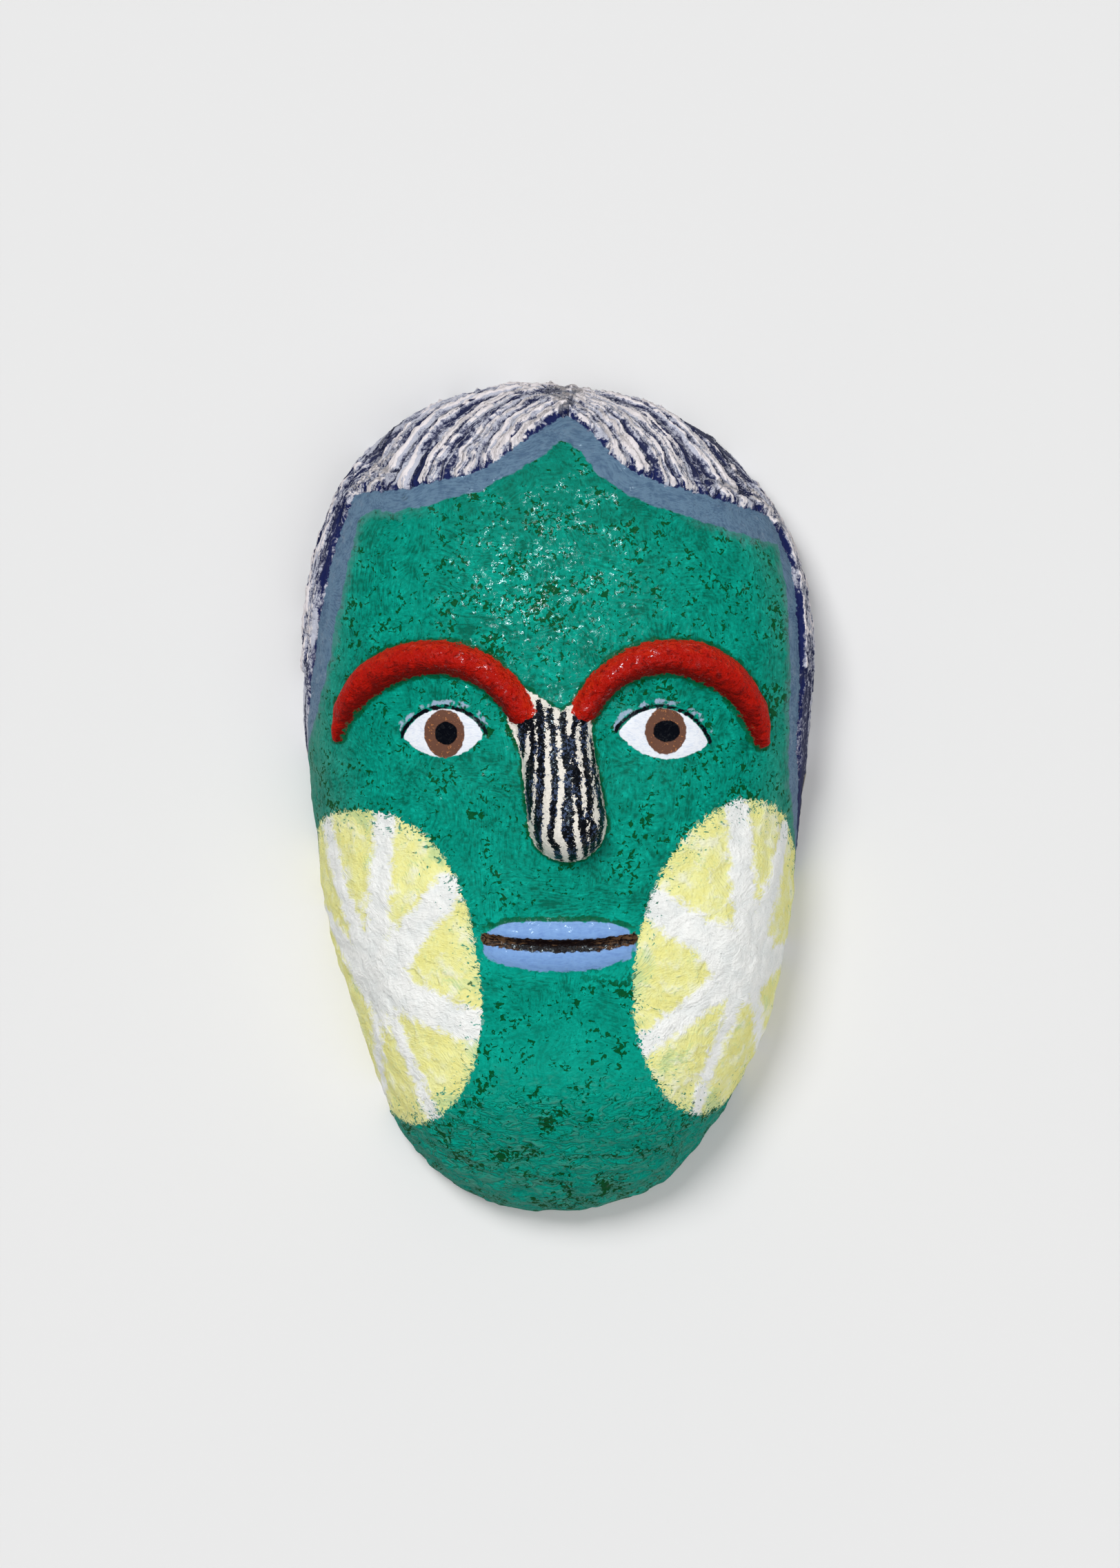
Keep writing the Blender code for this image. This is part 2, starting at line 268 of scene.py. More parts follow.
@dataclass(frozen=True)
class Brow:
    """One raised eyebrow: an arc of pulp from its blunt inner end to its tip."""

    centre: Pair
    radius: float
    inner: float
    outer: float
    half_widths: tuple[float, ...]
    height: float = 6.5
    fullness: float = 0.62
    crest_shift: float = 0.22
    inner_end: float = 0.8
    end_power: float = 4.0

    def measure(self, points: np.ndarray) -> tuple[np.ndarray, np.ndarray, np.ndarray]:
        """Measures the brow at each place.

        Args:
            points: places on the bare dome.

        Returns:
            The lift, the distance inside its edge, and where between its lower and upper side, -1 to 1.
        """
        x, y = points[:, 0] - self.centre[0], points[:, 1] - self.centre[1]
        angle = np.degrees(np.arctan2(y, x))
        angle = np.where(angle < -90.0, angle + 360.0, angle)
        along = np.clip((angle - self.inner) / (self.outer - self.inner), 0.0, 1.0)
        nearest = np.radians(self.inner + along * (self.outer - self.inner))
        sideways = np.hypot(x - self.radius * np.cos(nearest), y - self.radius * np.sin(nearest))
        half = np.interp(along, np.linspace(0.0, 1.0, len(self.half_widths)), self.half_widths)
        outward = np.hypot(x, y) - self.radius
        shifted = outward + self.crest_shift * half
        slope = np.where(shifted > 0.0, 1.0 + self.crest_shift, 1.0 - self.crest_shift)
        overrun = np.sqrt(np.clip(sideways**2 - outward**2, 0.0, None)) / (self.inner_end * half)
        blunt = (np.abs(outward / half) ** self.end_power + overrun**self.end_power) ** (1.0 / self.end_power)
        crest = np.abs(shifted) / (slope * half)
        share = np.where(along >= 1.0, sideways / half, crest)
        share = np.where(along <= 0.0, np.maximum(blunt, crest), share)
        lift = self.height * round_hump(share, self.fullness) * (half / max(self.half_widths)) ** 0.5
        outside = np.where(along <= 0.0, blunt, np.where(along >= 1.0, sideways, np.abs(outward)) / half)
        return lift, half * (1.0 - outside), outward / half


@dataclass(frozen=True)
class Nose:
    """The long finger-shaped nose, striped from top to tip."""

    top: Pair = (-2.2, 28.0)
    tip: Pair = (3.2, -9.2)
    half_widths: tuple[float, ...] = (13.4, 13.2, 13.7, 14.1)
    bridge_height: float = 6.0
    tip_height: float = 18.0
    fullness: float = 0.6
    notch: Pair = (1.0, 31.2)
    notch_slope: float = 0.62
    notch_softness: float = 0.85
    rise_power: float = 1.2
    top_run: float = 0.7
    flare_level: float = 14.0
    flare_power: float = 1.5
    flares: Pair = (3.0, 0.4)
    far_outside: float = -4.0
    stripe_end: float = 0.5
    stripe_slip: float = 0.085
    stripes: tuple[tuple[Triple, ...], ...] = (
        ((32.5, -13.3, 0.9), (27.8, -13.1, 1.5), (21.5, -13.1, 1.2), (16.5, -13.0, 0.9), (13.5, -12.8, 0.2)),
        (
            (32.0, -10.5, 1.3), (27.8, -10.3, 1.5), (24.0, -9.5, 0.8), (15.3, -9.1, 0.7), (12.0, -10.0, 1.3),
            (-1.0, -10.5, 1.3), (-7.3, -10.8, 1.2), (-11.0, -10.6, 0.4),
        ),
        (
            (36.0, -7.5, 0.5), (33.5, -6.8, 1.1), (28.5, -6.6, 1.6), (24.0, -6.4, 1.3), (17.8, -6.1, 1.1),
            (11.5, -6.3, 1.2), (4.0, -6.5, 1.25), (-6.0, -7.0, 1.25), (-12.3, -7.3, 1.5), (-16.5, -7.5, 1.2),
            (-20.0, -6.8, 0.9), (-27.0, -6.0, 0.9),
        ),
        (
            (33.0, -3.3, 0.7), (28.5, -3.1, 1.1), (24.0, -2.1, 0.85), (17.8, -1.6, 0.8), (12.8, -1.9, 1.3),
            (9.0, -1.4, 1.0), (4.0, -1.1, 1.1), (-1.0, -1.4, 0.85), (-6.0, -1.9, 1.1), (-11.0, -2.1, 1.0),
            (-14.8, -3.0, 1.1), (-18.0, -2.8, 0.9), (-20.5, -1.0, 1.2), (-27.0, 0.3, 1.1),
        ),
        (
            (32.5, 1.3, 0.9), (28.5, 1.6, 1.1), (21.0, 1.6, 1.05), (19.0, 3.0, 1.9), (14.0, 3.1, 1.8),
            (12.5, 2.3, 1.0), (10.5, 3.0, 1.2), (8.0, 4.8, 2.3), (6.0, 3.6, 1.3), (2.8, 3.4, 1.1),
            (-2.3, 3.3, 1.2), (-5.5, 3.0, 1.8), (-12.3, 3.1, 1.9), (-15.5, 3.0, 2.0), (-20.0, 4.3, 1.3),
            (-22.5, 4.8, 1.4), (-29.0, 5.3, 1.2),
        ),
        (
            (34.5, 7.0, 0.7), (31.5, 6.5, 1.1), (27.5, 6.5, 1.1), (25.0, 5.4, 0.6), (20.0, 5.0, 0.5),
            (16.5, 5.5, 1.2), (13.5, 5.3, 0.5), (11.0, 5.8, 1.0), (8.0, 6.5, 1.3), (2.8, 6.4, 1.1),
            (-2.3, 6.8, 0.9), (-6.0, 7.4, 0.9), (-11.0, 8.4, 1.1), (-16.0, 8.5, 1.1), (-21.0, 9.5, 1.0),
            (-27.0, 9.6, 0.9),
        ),
        (
            (32.5, 8.8, 0.8), (29.0, 8.9, 1.1), (24.0, 8.9, 1.15), (17.8, 9.1, 0.9), (11.5, 9.8, 1.0),
            (4.0, 10.6, 1.15), (-2.3, 10.8, 1.0), (-9.8, 10.5, 0.9), (-12.5, 11.8, 1.2), (-16.5, 12.1, 1.4),
            (-20.0, 11.8, 0.9), (-26.0, 11.9, 0.8),
        ),
        (
            (21.0, 11.8, 0.8), (17.8, 12.5, 1.0), (14.0, 13.3, 1.0), (11.0, 12.5, 0.5), (6.5, 12.8, 0.6),
            (3.5, 13.6, 0.9), (-1.0, 14.3, 0.8), (-6.0, 14.8, 0.8), (-8.5, 15.5, 1.2), (-11.8, 15.0, 0.8),
            (-14.8, 14.6, 0.6), (-22.0, 13.9, 0.6),
        ),
        ((8.5, 15.0, 0.7), (4.0, 16.0, 0.6), (-1.0, 16.8, 0.6), (-7.3, 17.0, 0.5)),
    )

    def striped(self, points: np.ndarray) -> np.ndarray:
        """Measures the black stripes, which lean with the swelling of the nose.

        Args:
            points: places on the bare dome.

        Returns:
            The distance inside the nearest stripe. A stripe's knots are level, middle and half width.
        """
        x, y = points[:, 0], points[:, 1]
        level = y - self.stripe_slip * (self.top[1] - y)
        inside = np.full(len(points), self.far_outside)
        for stripe in self.stripes:
            levels, middles, halves = np.array(stripe[::-1]).T
            half = np.interp(level, levels, halves)
            across = half - np.abs(x - np.interp(level, levels, middles))
            ends = np.minimum(levels[-1] + self.stripe_end - level, level - levels[0] + self.stripe_end)
            inside = np.maximum(inside, np.minimum(across, ends))
        return inside

    def measure(self, points: np.ndarray) -> tuple[np.ndarray, np.ndarray]:
        """Measures the nose at each place.

        Args:
            points: places on the bare dome.

        Returns:
            The lift, and the distance inside its painted edge.
        """
        x, y = points[:, 0], points[:, 1]
        run_x, run_y = self.tip[0] - self.top[0], self.tip[1] - self.top[1]
        along = ((x - self.top[0]) * run_x + (y - self.top[1]) * run_y) / (run_x**2 + run_y**2)
        share = np.clip(along, 0.0, 1.0)
        half = np.interp(share, np.linspace(0.0, 1.0, len(self.half_widths)), self.half_widths)
        away = np.hypot(x - self.top[0] - share * run_x, y - self.top[1] - share * run_y)
        height = self.bridge_height + (self.tip_height - self.bridge_height) * share**self.rise_power
        top_end = smooth_step(self.top[1] - y, -self.top_run * self.half_widths[0], 0.0)
        lift = height * round_hump(away / half, self.fullness) * top_end
        above = np.clip((y - self.flare_level) / self.flare_level, 0.0, 1.0)
        flare = np.where(x < 0.0, *self.flares) * above**self.flare_power
        below_notch = self.notch[1] + self.notch_slope * np.abs(x - self.notch[0]) - y
        return lift, np.minimum(half + flare - away, self.notch_softness * below_notch)


@dataclass(frozen=True)
class Eye:
    """One painted eye on its slight almond swelling."""

    centre: Pair
    half_width: float
    rise: float
    drop: float
    lean: float
    iris_centre: Pair
    iris_reach: Pair
    pupil_centre: Pair
    pupil_reach: Pair
    bulge: float = 2.0
    lid_spread: float = 1.3
    lid_half_width: float = 0.75
    wash_offset: float = 1.7
    wash_half_width: float = 0.9
    lid_rise: float = 0.6
    lid_drop: float = 2.0
    wash_drop: float = 1.0

    def _turned(self, points: np.ndarray) -> tuple[np.ndarray, np.ndarray]:
        """Reads places along the eye's own lean.

        Args:
            points: places on the bare dome.

        Returns:
            How far across and how far up the eye each place lies.
        """
        lean = math.radians(self.lean)
        x, y = points[:, 0] - self.centre[0], points[:, 1] - self.centre[1]
        return x * math.cos(lean) + y * math.sin(lean), y * math.cos(lean) - x * math.sin(lean)

    @staticmethod
    def _arc(half_width: float, rise: float) -> float:
        """Gives the radius of the arc of this width and rise."""
        return (half_width**2 + rise**2) / (2.0 * rise)

    @staticmethod
    def _inside_oval(points: np.ndarray, centre: Pair, reach: Pair) -> np.ndarray:
        """Gives roughly how far inside an upright oval each place lies."""
        share = np.hypot((points[:, 0] - centre[0]) / reach[0], (points[:, 1] - centre[1]) / reach[1])
        return (1.0 - share) * min(reach)

    def lift(self, points: np.ndarray) -> np.ndarray:
        """Measures the almond's swelling.

        Args:
            points: places on the bare dome.

        Returns:
            The lift of each place.
        """
        across, upward = self._turned(points)
        reach = np.where(upward > 0.0, self.rise, self.drop)
        share = (across / self.half_width) ** 2 + (upward / reach) ** 2
        return self.bulge * np.clip(1.0 - share, 0.0, 1.0) ** 0.7

    def traces(self, points: np.ndarray) -> dict[Trace, np.ndarray]:
        """Measures the painted parts of the eye.

        Args:
            points: places on the bare dome.

        Returns:
            The distance inside each painted part, by its name.
        """
        across, upward = self._turned(points)
        above = self._arc(self.half_width, self.rise)
        below = self._arc(self.half_width, self.drop)
        upper = above - np.hypot(across, upward - self.rise + above)
        lower = below - np.hypot(across, upward + self.drop - below)
        white = np.minimum(upper, lower)
        lid_width = self.half_width + self.lid_spread
        lid_arc = self._arc(lid_width, self.rise + self.lid_rise)
        off_lid = np.hypot(across, upward - self.rise - self.lid_rise + lid_arc) - lid_arc
        reach = lid_width - np.abs(across)
        lid = self.lid_half_width - np.abs(off_lid)
        wash = self.wash_half_width - np.abs(off_lid - self.wash_offset)
        iris = np.minimum(self._inside_oval(points, self.iris_centre, self.iris_reach), upper)
        return {
            Trace.WHITE: white,
            Trace.IRIS: iris,
            Trace.PUPIL: self._inside_oval(points, self.pupil_centre, self.pupil_reach),
            Trace.LID: np.minimum.reduce([lid, reach, upward + self.lid_drop]),
            Trace.LID_WASH: np.minimum.reduce([wash, reach, upward + self.wash_drop]),
        }


@dataclass(frozen=True)
class Lips:
    """The two lips and the dark line between them."""

    centre: Pair = (0.2, -54.1)
    half_width: float = 27.5
    half_height: float = 9.2
    height: float = 3.0
    groove: float = 2.4
    groove_spread: float = 1.6
    line_rise: float = 2.6
    line_level: float = 0.5
    line_half_width: float = 2.35
    fullness: Pair = (5.0, 2.0)
    upright_power: float = 2.2
    edge_power: float = 2.3
    round_power: float = 0.55
    groove_ends: Pair = (-1.0, -0.8)
    line_taper: float = 0.1
    line_reach: float = 1.02

    def measure(self, points: np.ndarray) -> tuple[np.ndarray, np.ndarray, np.ndarray]:
        """Measures the mouth at each place.

        Args:
            points: places on the bare dome.

        Returns:
            The lift, the distance inside the lips, and the distance inside the dark line.
        """
        x, y = points[:, 0] - self.centre[0], points[:, 1] - self.centre[1]
        across, upward = x / self.half_width, y / self.half_height
        upper, lower = self.fullness
        full = np.abs(across) ** np.where(upward > 0.0, upper, lower)
        full = full + np.abs(upward) ** self.upright_power
        line = y - self.line_level - self.line_rise * across**2
        groove = np.exp(-((line / self.groove_spread) ** 2))
        groove = groove * smooth_step(-np.abs(across), *self.groove_ends)
        lift = self.height * np.clip(1.0 - full, 0.0, 1.0) ** self.round_power - self.groove * groove
        inside = (1.0 - full ** (1.0 / self.edge_power)) * self.half_height
        half = self.line_half_width * (1.0 - self.line_taper * across**2)
        ends = (self.line_reach - np.abs(across)) * self.half_width
        return lift, inside, np.minimum(half - np.abs(line), ends)


@dataclass(frozen=True)
class CheekPatch:
    """A yellow oval with white rays, painted round the side of the cheek and drawn on the unrolled dome."""

    centre: Pair
    reach: Pair
    turn: float
    power: float
    hub: Pair
    hub_radius: float
    rays: tuple[Triple, ...]
    merging: float = 1.8
    root_width: float = 1.1

    def traces(self, flat: np.ndarray) -> dict[Trace, np.ndarray]:
        """Measures the patch.

        Args:
            flat: places on the unrolled dome.

        Returns:
            The distance inside the oval and inside its rays. A ray is its end's place and its width there.
        """
        turn = math.radians(self.turn)
        x, y = flat[:, 0] - self.centre[0], flat[:, 1] - self.centre[1]
        across = np.abs(x * math.cos(turn) + y * math.sin(turn)) / self.reach[0]
        along = np.abs(y * math.cos(turn) - x * math.sin(turn)) / self.reach[1]
        share = (across**self.power + along**self.power) ** (1.0 / self.power)
        hub = np.array(self.hub)
        merged = np.exp((self.hub_radius - np.linalg.norm(flat - hub, axis=1)) / self.merging)
        for end_x, end_y, width in self.rays:
            run = np.array([end_x, end_y]) - hub
            place = np.clip((flat - hub) @ run / (run @ run), 0.0, 1.0)
            away = np.linalg.norm(flat - hub - place[:, None] * run, axis=1)
            half = (self.root_width * (1.0 - place) + place) * width / 2
            merged += np.exp((half - away) / self.merging)
        return {Trace.CHEEK: (1.0 - share) * min(self.reach), Trace.RAY: self.merging * np.log(merged)}


@dataclass(frozen=True)
class Hair:
    """The combed hair: a pad of pulp with thick strokes combed over it, and the plain band below it."""

    form: HeadForm
    hairline: Knots = (
        (-41.0, 92.0), (-31.0, 84.0), (-19.0, 70.0), (-9.0, 70.0), (3.0, 69.0), (15.0, 70.0),
        (27.0, 75.0), (36.0, 74.0), (41.0, 63.5), (46.0, 56.5), (53.0, 50.0), (60.0, 45.5),
        (68.0, 44.5), (75.0, 46.5), (81.0, 53.0), (88.0, 62.0), (95.0, 53.5), (103.0, 46.5),
        (110.0, 43.0), (117.0, 43.0), (124.0, 46.0), (130.0, 49.5), (135.0, 58.0), (139.0, 68.0),
        (148.0, 66.0), (164.0, 66.5), (179.0, 74.0), (189.0, 79.0), (200.0, 92.0),
    )
    band_line: Knots = (
        (-44.0, 94.0), (-36.0, 86.0), (-27.0, 69.0), (-21.0, 65.6), (-9.0, 64.4), (8.0, 62.8),
        (24.0, 67.6), (30.0, 71.0), (34.0, 59.0), (39.0, 51.5), (46.0, 44.9), (53.0, 41.1),
        (60.0, 37.9), (69.0, 37.5), (79.0, 40.8), (84.0, 47.0), (89.4, 51.0), (94.0, 44.6),
        (103.0, 39.9), (114.0, 37.1), (122.0, 38.8), (129.0, 41.7), (136.0, 48.2), (140.0, 57.7),
        (143.0, 59.7), (151.0, 57.3), (163.0, 57.5), (174.0, 61.1), (183.0, 64.9), (189.0, 69.8),
        (194.0, 76.7), (203.0, 94.0),
    )
    parting: float = 89.0
    rim_tilt: float = 90.0
    pad: float = 1.2
    stroke_height: float = 1.9
    stroke_radius: float = 2.4
    stroke_fullness: float = 0.7
    fan_strokes: int = 24
    fan_turn: Pair = (7.0, 55.0)
    temple_strands: int = 9
    temple_start: float = 42.0
    temple_turn: float = 46.0
    stroke_points: int = 14
    sway: float = 1.5
    rank_pitch: float = 5.0
    stroke_run: float = 70.0
    parting_gap: Pair = (-3.0, 2.5)
    turn_jitter: float = 1.5
    fan_levels: Pair = (0.08, 0.9)
    temple_jitter: Pair = (4.0, 8.0)
    temple_levels: Pair = (0.1, 0.85)
    temple_fall: float = 0.1
    widening: Pair = (0.31, 0.3)
    strength: Triple = (0.35, 0.75, 0.7)
    line_margin: float = 4.0
    seed: int = 7

    def line_tilt(self, knots: Knots, direction: np.ndarray) -> np.ndarray:
        """Gives the tilt of a line round the dome.

        Args:
            knots: the line's own directions and tilts, in degrees.
            direction: directions in degrees.

        Returns:
            One tilt in degrees for each direction.
        """
        turned = (direction + 90.0) % 360.0 - 90.0
        beyond = self.rim_tilt + self.line_margin
        return np.interp(turned, *zip(*knots), left=beyond, right=beyond)

    def beyond_line(self, knots: Knots, direction: np.ndarray, tilt: np.ndarray) -> np.ndarray:
        """Measures how far each place lies on the rim's side of a line round the dome.

        Args:
            knots: the line's own directions and tilts, in degrees.
            direction: the places' directions, in radians.
            tilt: their tilts, in radians.

        Returns:
            Millimetres over the line, negative on the face's side.
        """
        degrees = np.degrees(direction)
        over = np.degrees(tilt) - self.line_tilt(knots, degrees)
        step = 0.5
        slope = (self.line_tilt(knots, degrees + step) - self.line_tilt(knots, degrees - step)) / (2 * step)
        near = np.clip(tilt, math.radians(1.0), math.radians(self.rim_tilt - 0.6))
        small = math.radians(step)
        down = self.form.point(direction, near + small) - self.form.point(direction, near - small)
        round_face = self.form.point(direction + small, near) - self.form.point(direction - small, near)
        steepness = np.hypot(1.0 / np.linalg.norm(down, axis=1), slope / np.linalg.norm(round_face, axis=1))
        return over / steepness

    def stroke_paths(self) -> list[np.ndarray]:
        """Lays the strokes: a fan on each side of the parting, then strands along each temple.

        Returns:
            The points of each stroke, on the bare dome.
        """
        chance = np.random.default_rng(self.seed)
        share = np.linspace(0.0, 1.0, self.stroke_points)
        paths = []
        (first, spread), (low, rise) = self.fan_levels, self.temple_levels
        begin, bend = self.temple_jitter
        for side in (1.0, -1.0):
            for number in range(self.fan_strokes):
                rank = (number + 0.5) / self.fan_strokes
                start = self.parting + side * chance.uniform(*self.parting_gap)
                turn = self.fan_turn[0] + (self.fan_turn[1] - self.fan_turn[0]) * rank
                turn += chance.uniform(-self.turn_jitter, self.turn_jitter)
                level = (first + spread * rank) * (1.0 - share ** (1.2 + rank))
                paths.append((start + side * turn * share, level))
            for number in range(self.temple_strands):
                rank = (number + 0.5) / self.temple_strands
                start = self.parting + side * (self.temple_start + chance.uniform(-begin, begin))
                turn = self.temple_turn + chance.uniform(-bend, bend)
                paths.append((start + side * turn * share, low + rise * rank - self.temple_fall * share))
        placed = []
        for direction, level in paths:
            begins = np.minimum(self.line_tilt(self.hairline, direction) + 1.0, self.rim_tilt)
            tilt = begins + level * (self.rim_tilt - begins)
            placed.append(self.form.point(np.radians(direction), np.radians(tilt)))
        return placed

    @staticmethod
    def along_path(points: np.ndarray, path: np.ndarray) -> tuple[np.ndarray, np.ndarray]:
        """Measures points against a run of straight lines.

        Args:
            points: the places measured.
            path: the run's corners.

        Returns:
            Each place's distance to the run, and its share of the way along it.
        """
        best = np.full(len(points), np.inf)
        place = np.zeros(len(points))
        for number, (first, second) in enumerate(zip(path[:-1], path[1:])):
            run = second - first
            along = np.clip((points - first) @ run / max(run @ run, 1e-3), 0.0, 1.0)
            away = np.linalg.norm(points - first - along[:, None] * run, axis=1)
            nearer = away < best
            best[nearer] = away[nearer]
            place[nearer] = (number + along[nearer]) / (len(path) - 1)
        return best, place

    def comb(self, points: np.ndarray, inside: np.ndarray) -> dict[Trace, np.ndarray]:
        """Combs the hair.

        Args:
            points: places on the bare dome.
            inside: millimetres inside the hairline.

        Returns:
            How high each place stands on a stroke, and where it lies across and along the strokes.
        """
        near = np.flatnonzero(inside > -1.0)
        there = points[near]
        sway = np.stack([pulp_noise(there, 6.0, 1.7), pulp_noise(there, 6.0, 8.3), np.zeros(len(near))], 1)
        swayed = there + self.sway * sway
        wobble = 1.0 + 0.4 * pulp_noise(there, 3.0) + 0.2 * pulp_noise(there, 1.4)
        measured = [self.along_path(swayed, path) for path in self.stroke_paths()]
        away = np.array([one for one, _ in measured])
        share = np.array([one for _, one in measured])
        order = np.argsort(away, axis=0, kind="stable")[:2]
        first, second = np.take_along_axis(away, order, 0)
        place, other_place = np.take_along_axis(share, order, 0)
        rank, other_rank = order
        weight = first / np.maximum(first + second, 1e-6)
        across = self.rank_pitch * (rank * (1.0 - weight) + other_rank * weight)
        along = self.stroke_run * (place * (1.0 - weight) + other_place * weight)
        chance = np.random.default_rng(self.seed + 1)
        least, spread, power = self.strength
        strength = least + spread * chance.random(len(away)) ** power
        broken = np.stack([rank * 7.3, along / 7.0, np.zeros(len(near))], 1)
        lumpy = np.clip(0.85 + 0.6 * pulp_noise(broken, 1.0), 0.25, 1.15)
        begins, widens = self.widening
        radius = self.stroke_radius * (begins + widens * place) * wobble
        ridge = strength[rank] * lumpy * round_hump(first / radius, self.stroke_fullness)
        kinds = (Trace.RIDGE, Trace.COMB_ACROSS, Trace.COMB_ALONG)
        result = {trace: np.zeros(len(points)) for trace in kinds}
        result[Trace.COMB_ACROSS][near] = across
        result[Trace.COMB_ALONG][near] = along
        combed = np.stack([across, 0.09 * along, 0.02 * there[:, 0]], 1)
        strands = 0.4 * pulp_noise(combed, 1.8) + 0.35 * pulp_noise(combed, 0.9)
        crumbs = 0.2 * pulp_noise(there, 1.8, 6.1)
        result[Trace.RIDGE][near] = ridge + strands + crumbs
        return result


@dataclass
class PulpFace:
    """The whole modelled face: it lays the carving and the pulp's grain, and traces the painted areas."""

    form: HeadForm = field(default_factory=HeadForm)
    brows: tuple[Brow, ...] = (
        Brow((-45.4, 15.5), 35.3, 27.0, 170.5, (5.3, 5.8, 6.0, 6.1, 6.3, 6.1, 4.4, 1.2)),
        Brow((39.9, 17.4), 33.5, 154.5, 5.0, (5.0, 5.4, 5.8, 6.3, 6.9, 6.2, 5.2, 2.6)),
    )
    nose: Nose = Nose()
    eyes: tuple[Eye, ...] = (
        Eye((-42.2, 22.1), 14.8, 10.0, 7.6, 1.4, (-41.9, 23.0), (7.5, 8.75), (-41.25, 23.1), (4.2, 4.2)),
        Eye((38.3, 21.2), 16.6, 11.0, 7.2, -7.5, (39.25, 24.0), (7.5, 8.5), (39.5, 23.9), (4.9, 3.9)),
    )
    lips: Lips = Lips()
    cheeks: tuple[CheekPatch, ...] = (
        CheekPatch(
            centre=(-69.0, -111.7),
            reach=(40.7, 59.6),
            turn=6.1,
            power=2.35,
            hub=(-66.2, -113.8),
            hub_radius=11.0,
            rays=(
                (-90.5, -60.8, 6.5),
                (-63.4, -52.6, 8.5),
                (-39.4, -79.0, 11.0),
                (-31.5, -129.0, 12.5),
                (-44.9, -164.3, 4.6),
                (-68.0, -166.7, 4.4),
                (-91.5, -99.1, 10.0),
            ),
        ),
        CheekPatch(
            centre=(63.9, -106.8),
            reach=(36.5, 59.4),
            turn=-8.7,
            power=2.0,
            hub=(68.0, -108.3),
            hub_radius=12.5,
            rays=(
                (65.4, -47.9, 9.5),
                (88.3, -61.8, 7.5),
                (30.1, -81.7, 12.5),
                (29.7, -136.5, 8.5),
                (49.4, -163.7, 4.8),
                (79.0, -149.4, 4.6),
                (88.9, -112.0, 11.0),
            ),
        ),
    )
    varnish_centre: Pair = (2.0, 62.0)
    varnish_spread: Pair = (52.0, 46.0)
    view_centre: Pair = (0.5, 4.75)
    view_distance: float = 4737.5
    sharp_level: float = 20.0
    pit_depth: float = 0.55
    crumb_height: float = 0.2
    knob_height: float = 0.34
    ripple_height: float = 0.8
    ripple_stretch: Triple = (0.42, 1.0, 0.7)
    chin_levels: Pair = (92.0, 112.0)
    knob_size: float = 5.2
    crumb_size: float = 2.3
    ripple_size: float = 3.2
    pit_sizes: Pair = (9.0, 2.4)
    pit_levels: Pair = (0.42, 0.6)
    calm_rim: float = 4.0

    def __post_init__(self) -> None:
        """Fits the hair to the form."""
        self.hair = Hair(self.form)

    def traces(self, points: np.ndarray, direction: np.ndarray, tilt: np.ndarray) -> dict[Trace, np.ndarray]:
        """Measures every painted area.

        Args:
            points: places on the bare dome.
            direction: their angles round the face.
            tilt: their angles from the apex.

        Returns:
            One array for each trace but those of the comb and the pits.
        """
        flat = self.form.unrolled(points, direction)
        points = self.as_seen(points)
        found = {
            Trace.HAIR: self.hair.beyond_line(self.hair.hairline, direction, tilt),
            Trace.BAND: self.hair.beyond_line(self.hair.band_line, direction, tilt),
        }
        brows = [brow.measure(points) for brow in self.brows]
        nearest = brows[0][1] > brows[1][1]
        found[Trace.BROW] = np.maximum(brows[0][1], brows[1][1])
        found[Trace.BROW_UNDER] = np.clip(np.where(nearest, brows[0][2], brows[1][2]), -1.5, 1.5)
        _, found[Trace.NOSE] = self.nose.measure(points)
        found[Trace.STRIPE] = self.nose.striped(points)
        _, found[Trace.LIPS], found[Trace.MOUTH] = self.lips.measure(points)
        eyes = [eye.traces(points) for eye in self.eyes]
        cheeks = [cheek.traces(flat) for cheek in self.cheeks]
        for parts in (eyes, cheeks):
            for trace in parts[0]:
                found[trace] = np.maximum.reduce([part[trace] for part in parts])
        across = (points[:, 0] - self.varnish_centre[0]) / self.varnish_spread[0]
        along = (points[:, 1] - self.varnish_centre[1]) / self.varnish_spread[1]
        found[Trace.VARNISH] = np.exp(-(across**2) - along**2)
        return found

    def as_seen(self, points: np.ndarray) -> np.ndarray:
        """Spreads the places by their height, as the camera does, because the features were drawn from above.

        Args:
            points: places on the bare dome.

        Returns:
            Where each is seen, at its own height.
        """
        seen = points.copy()
        nearness = self.view_distance / (self.view_distance + self.sharp_level - points[:, 2:])
        seen[:, :2] = self.view_centre + (points[:, :2] - self.view_centre) * nearness
        return seen

    @staticmethod
    def wants_detail(found: dict[Trace, np.ndarray]) -> np.ndarray:
        """Tells which places need a fine mesh, where carving or a fine painted edge lies."""
        margins = {Trace.HAIR: 2.0, Trace.BROW: 2.5, Trace.NOSE: 3.0, Trace.WHITE: 3.5, Trace.LIPS: 2.0}
        return np.logical_or.reduce([found[trace] > -margin for trace, margin in margins.items()])

    def carve(self, points: np.ndarray, found: dict[Trace, np.ndarray]) -> np.ndarray:
        """Gives the outer skin's whole relief, and adds the traces that it finds on the way.

        Args:
            points: places on the bare dome.
            found: the traces there, which get the comb's and the pits'.

        Returns:
            The outward lift of each place.
        """
        seen = self.as_seen(points)
        brow = np.maximum.reduce([brow.measure(seen)[0] for brow in self.brows])
        nose = self.nose.measure(seen)[0]
        lift = self.form.broad_form(points) + np.maximum(brow, nose) + self.lips.measure(seen)[0]
        for eye in self.eyes:
            lift += eye.lift(seen)
        found.update(self.hair.comb(points, found[Trace.HAIR]))
        lift += self.form.slow_lumps(points) + self._hair_lift(points, found) + self._grain(points, found)
        return lift

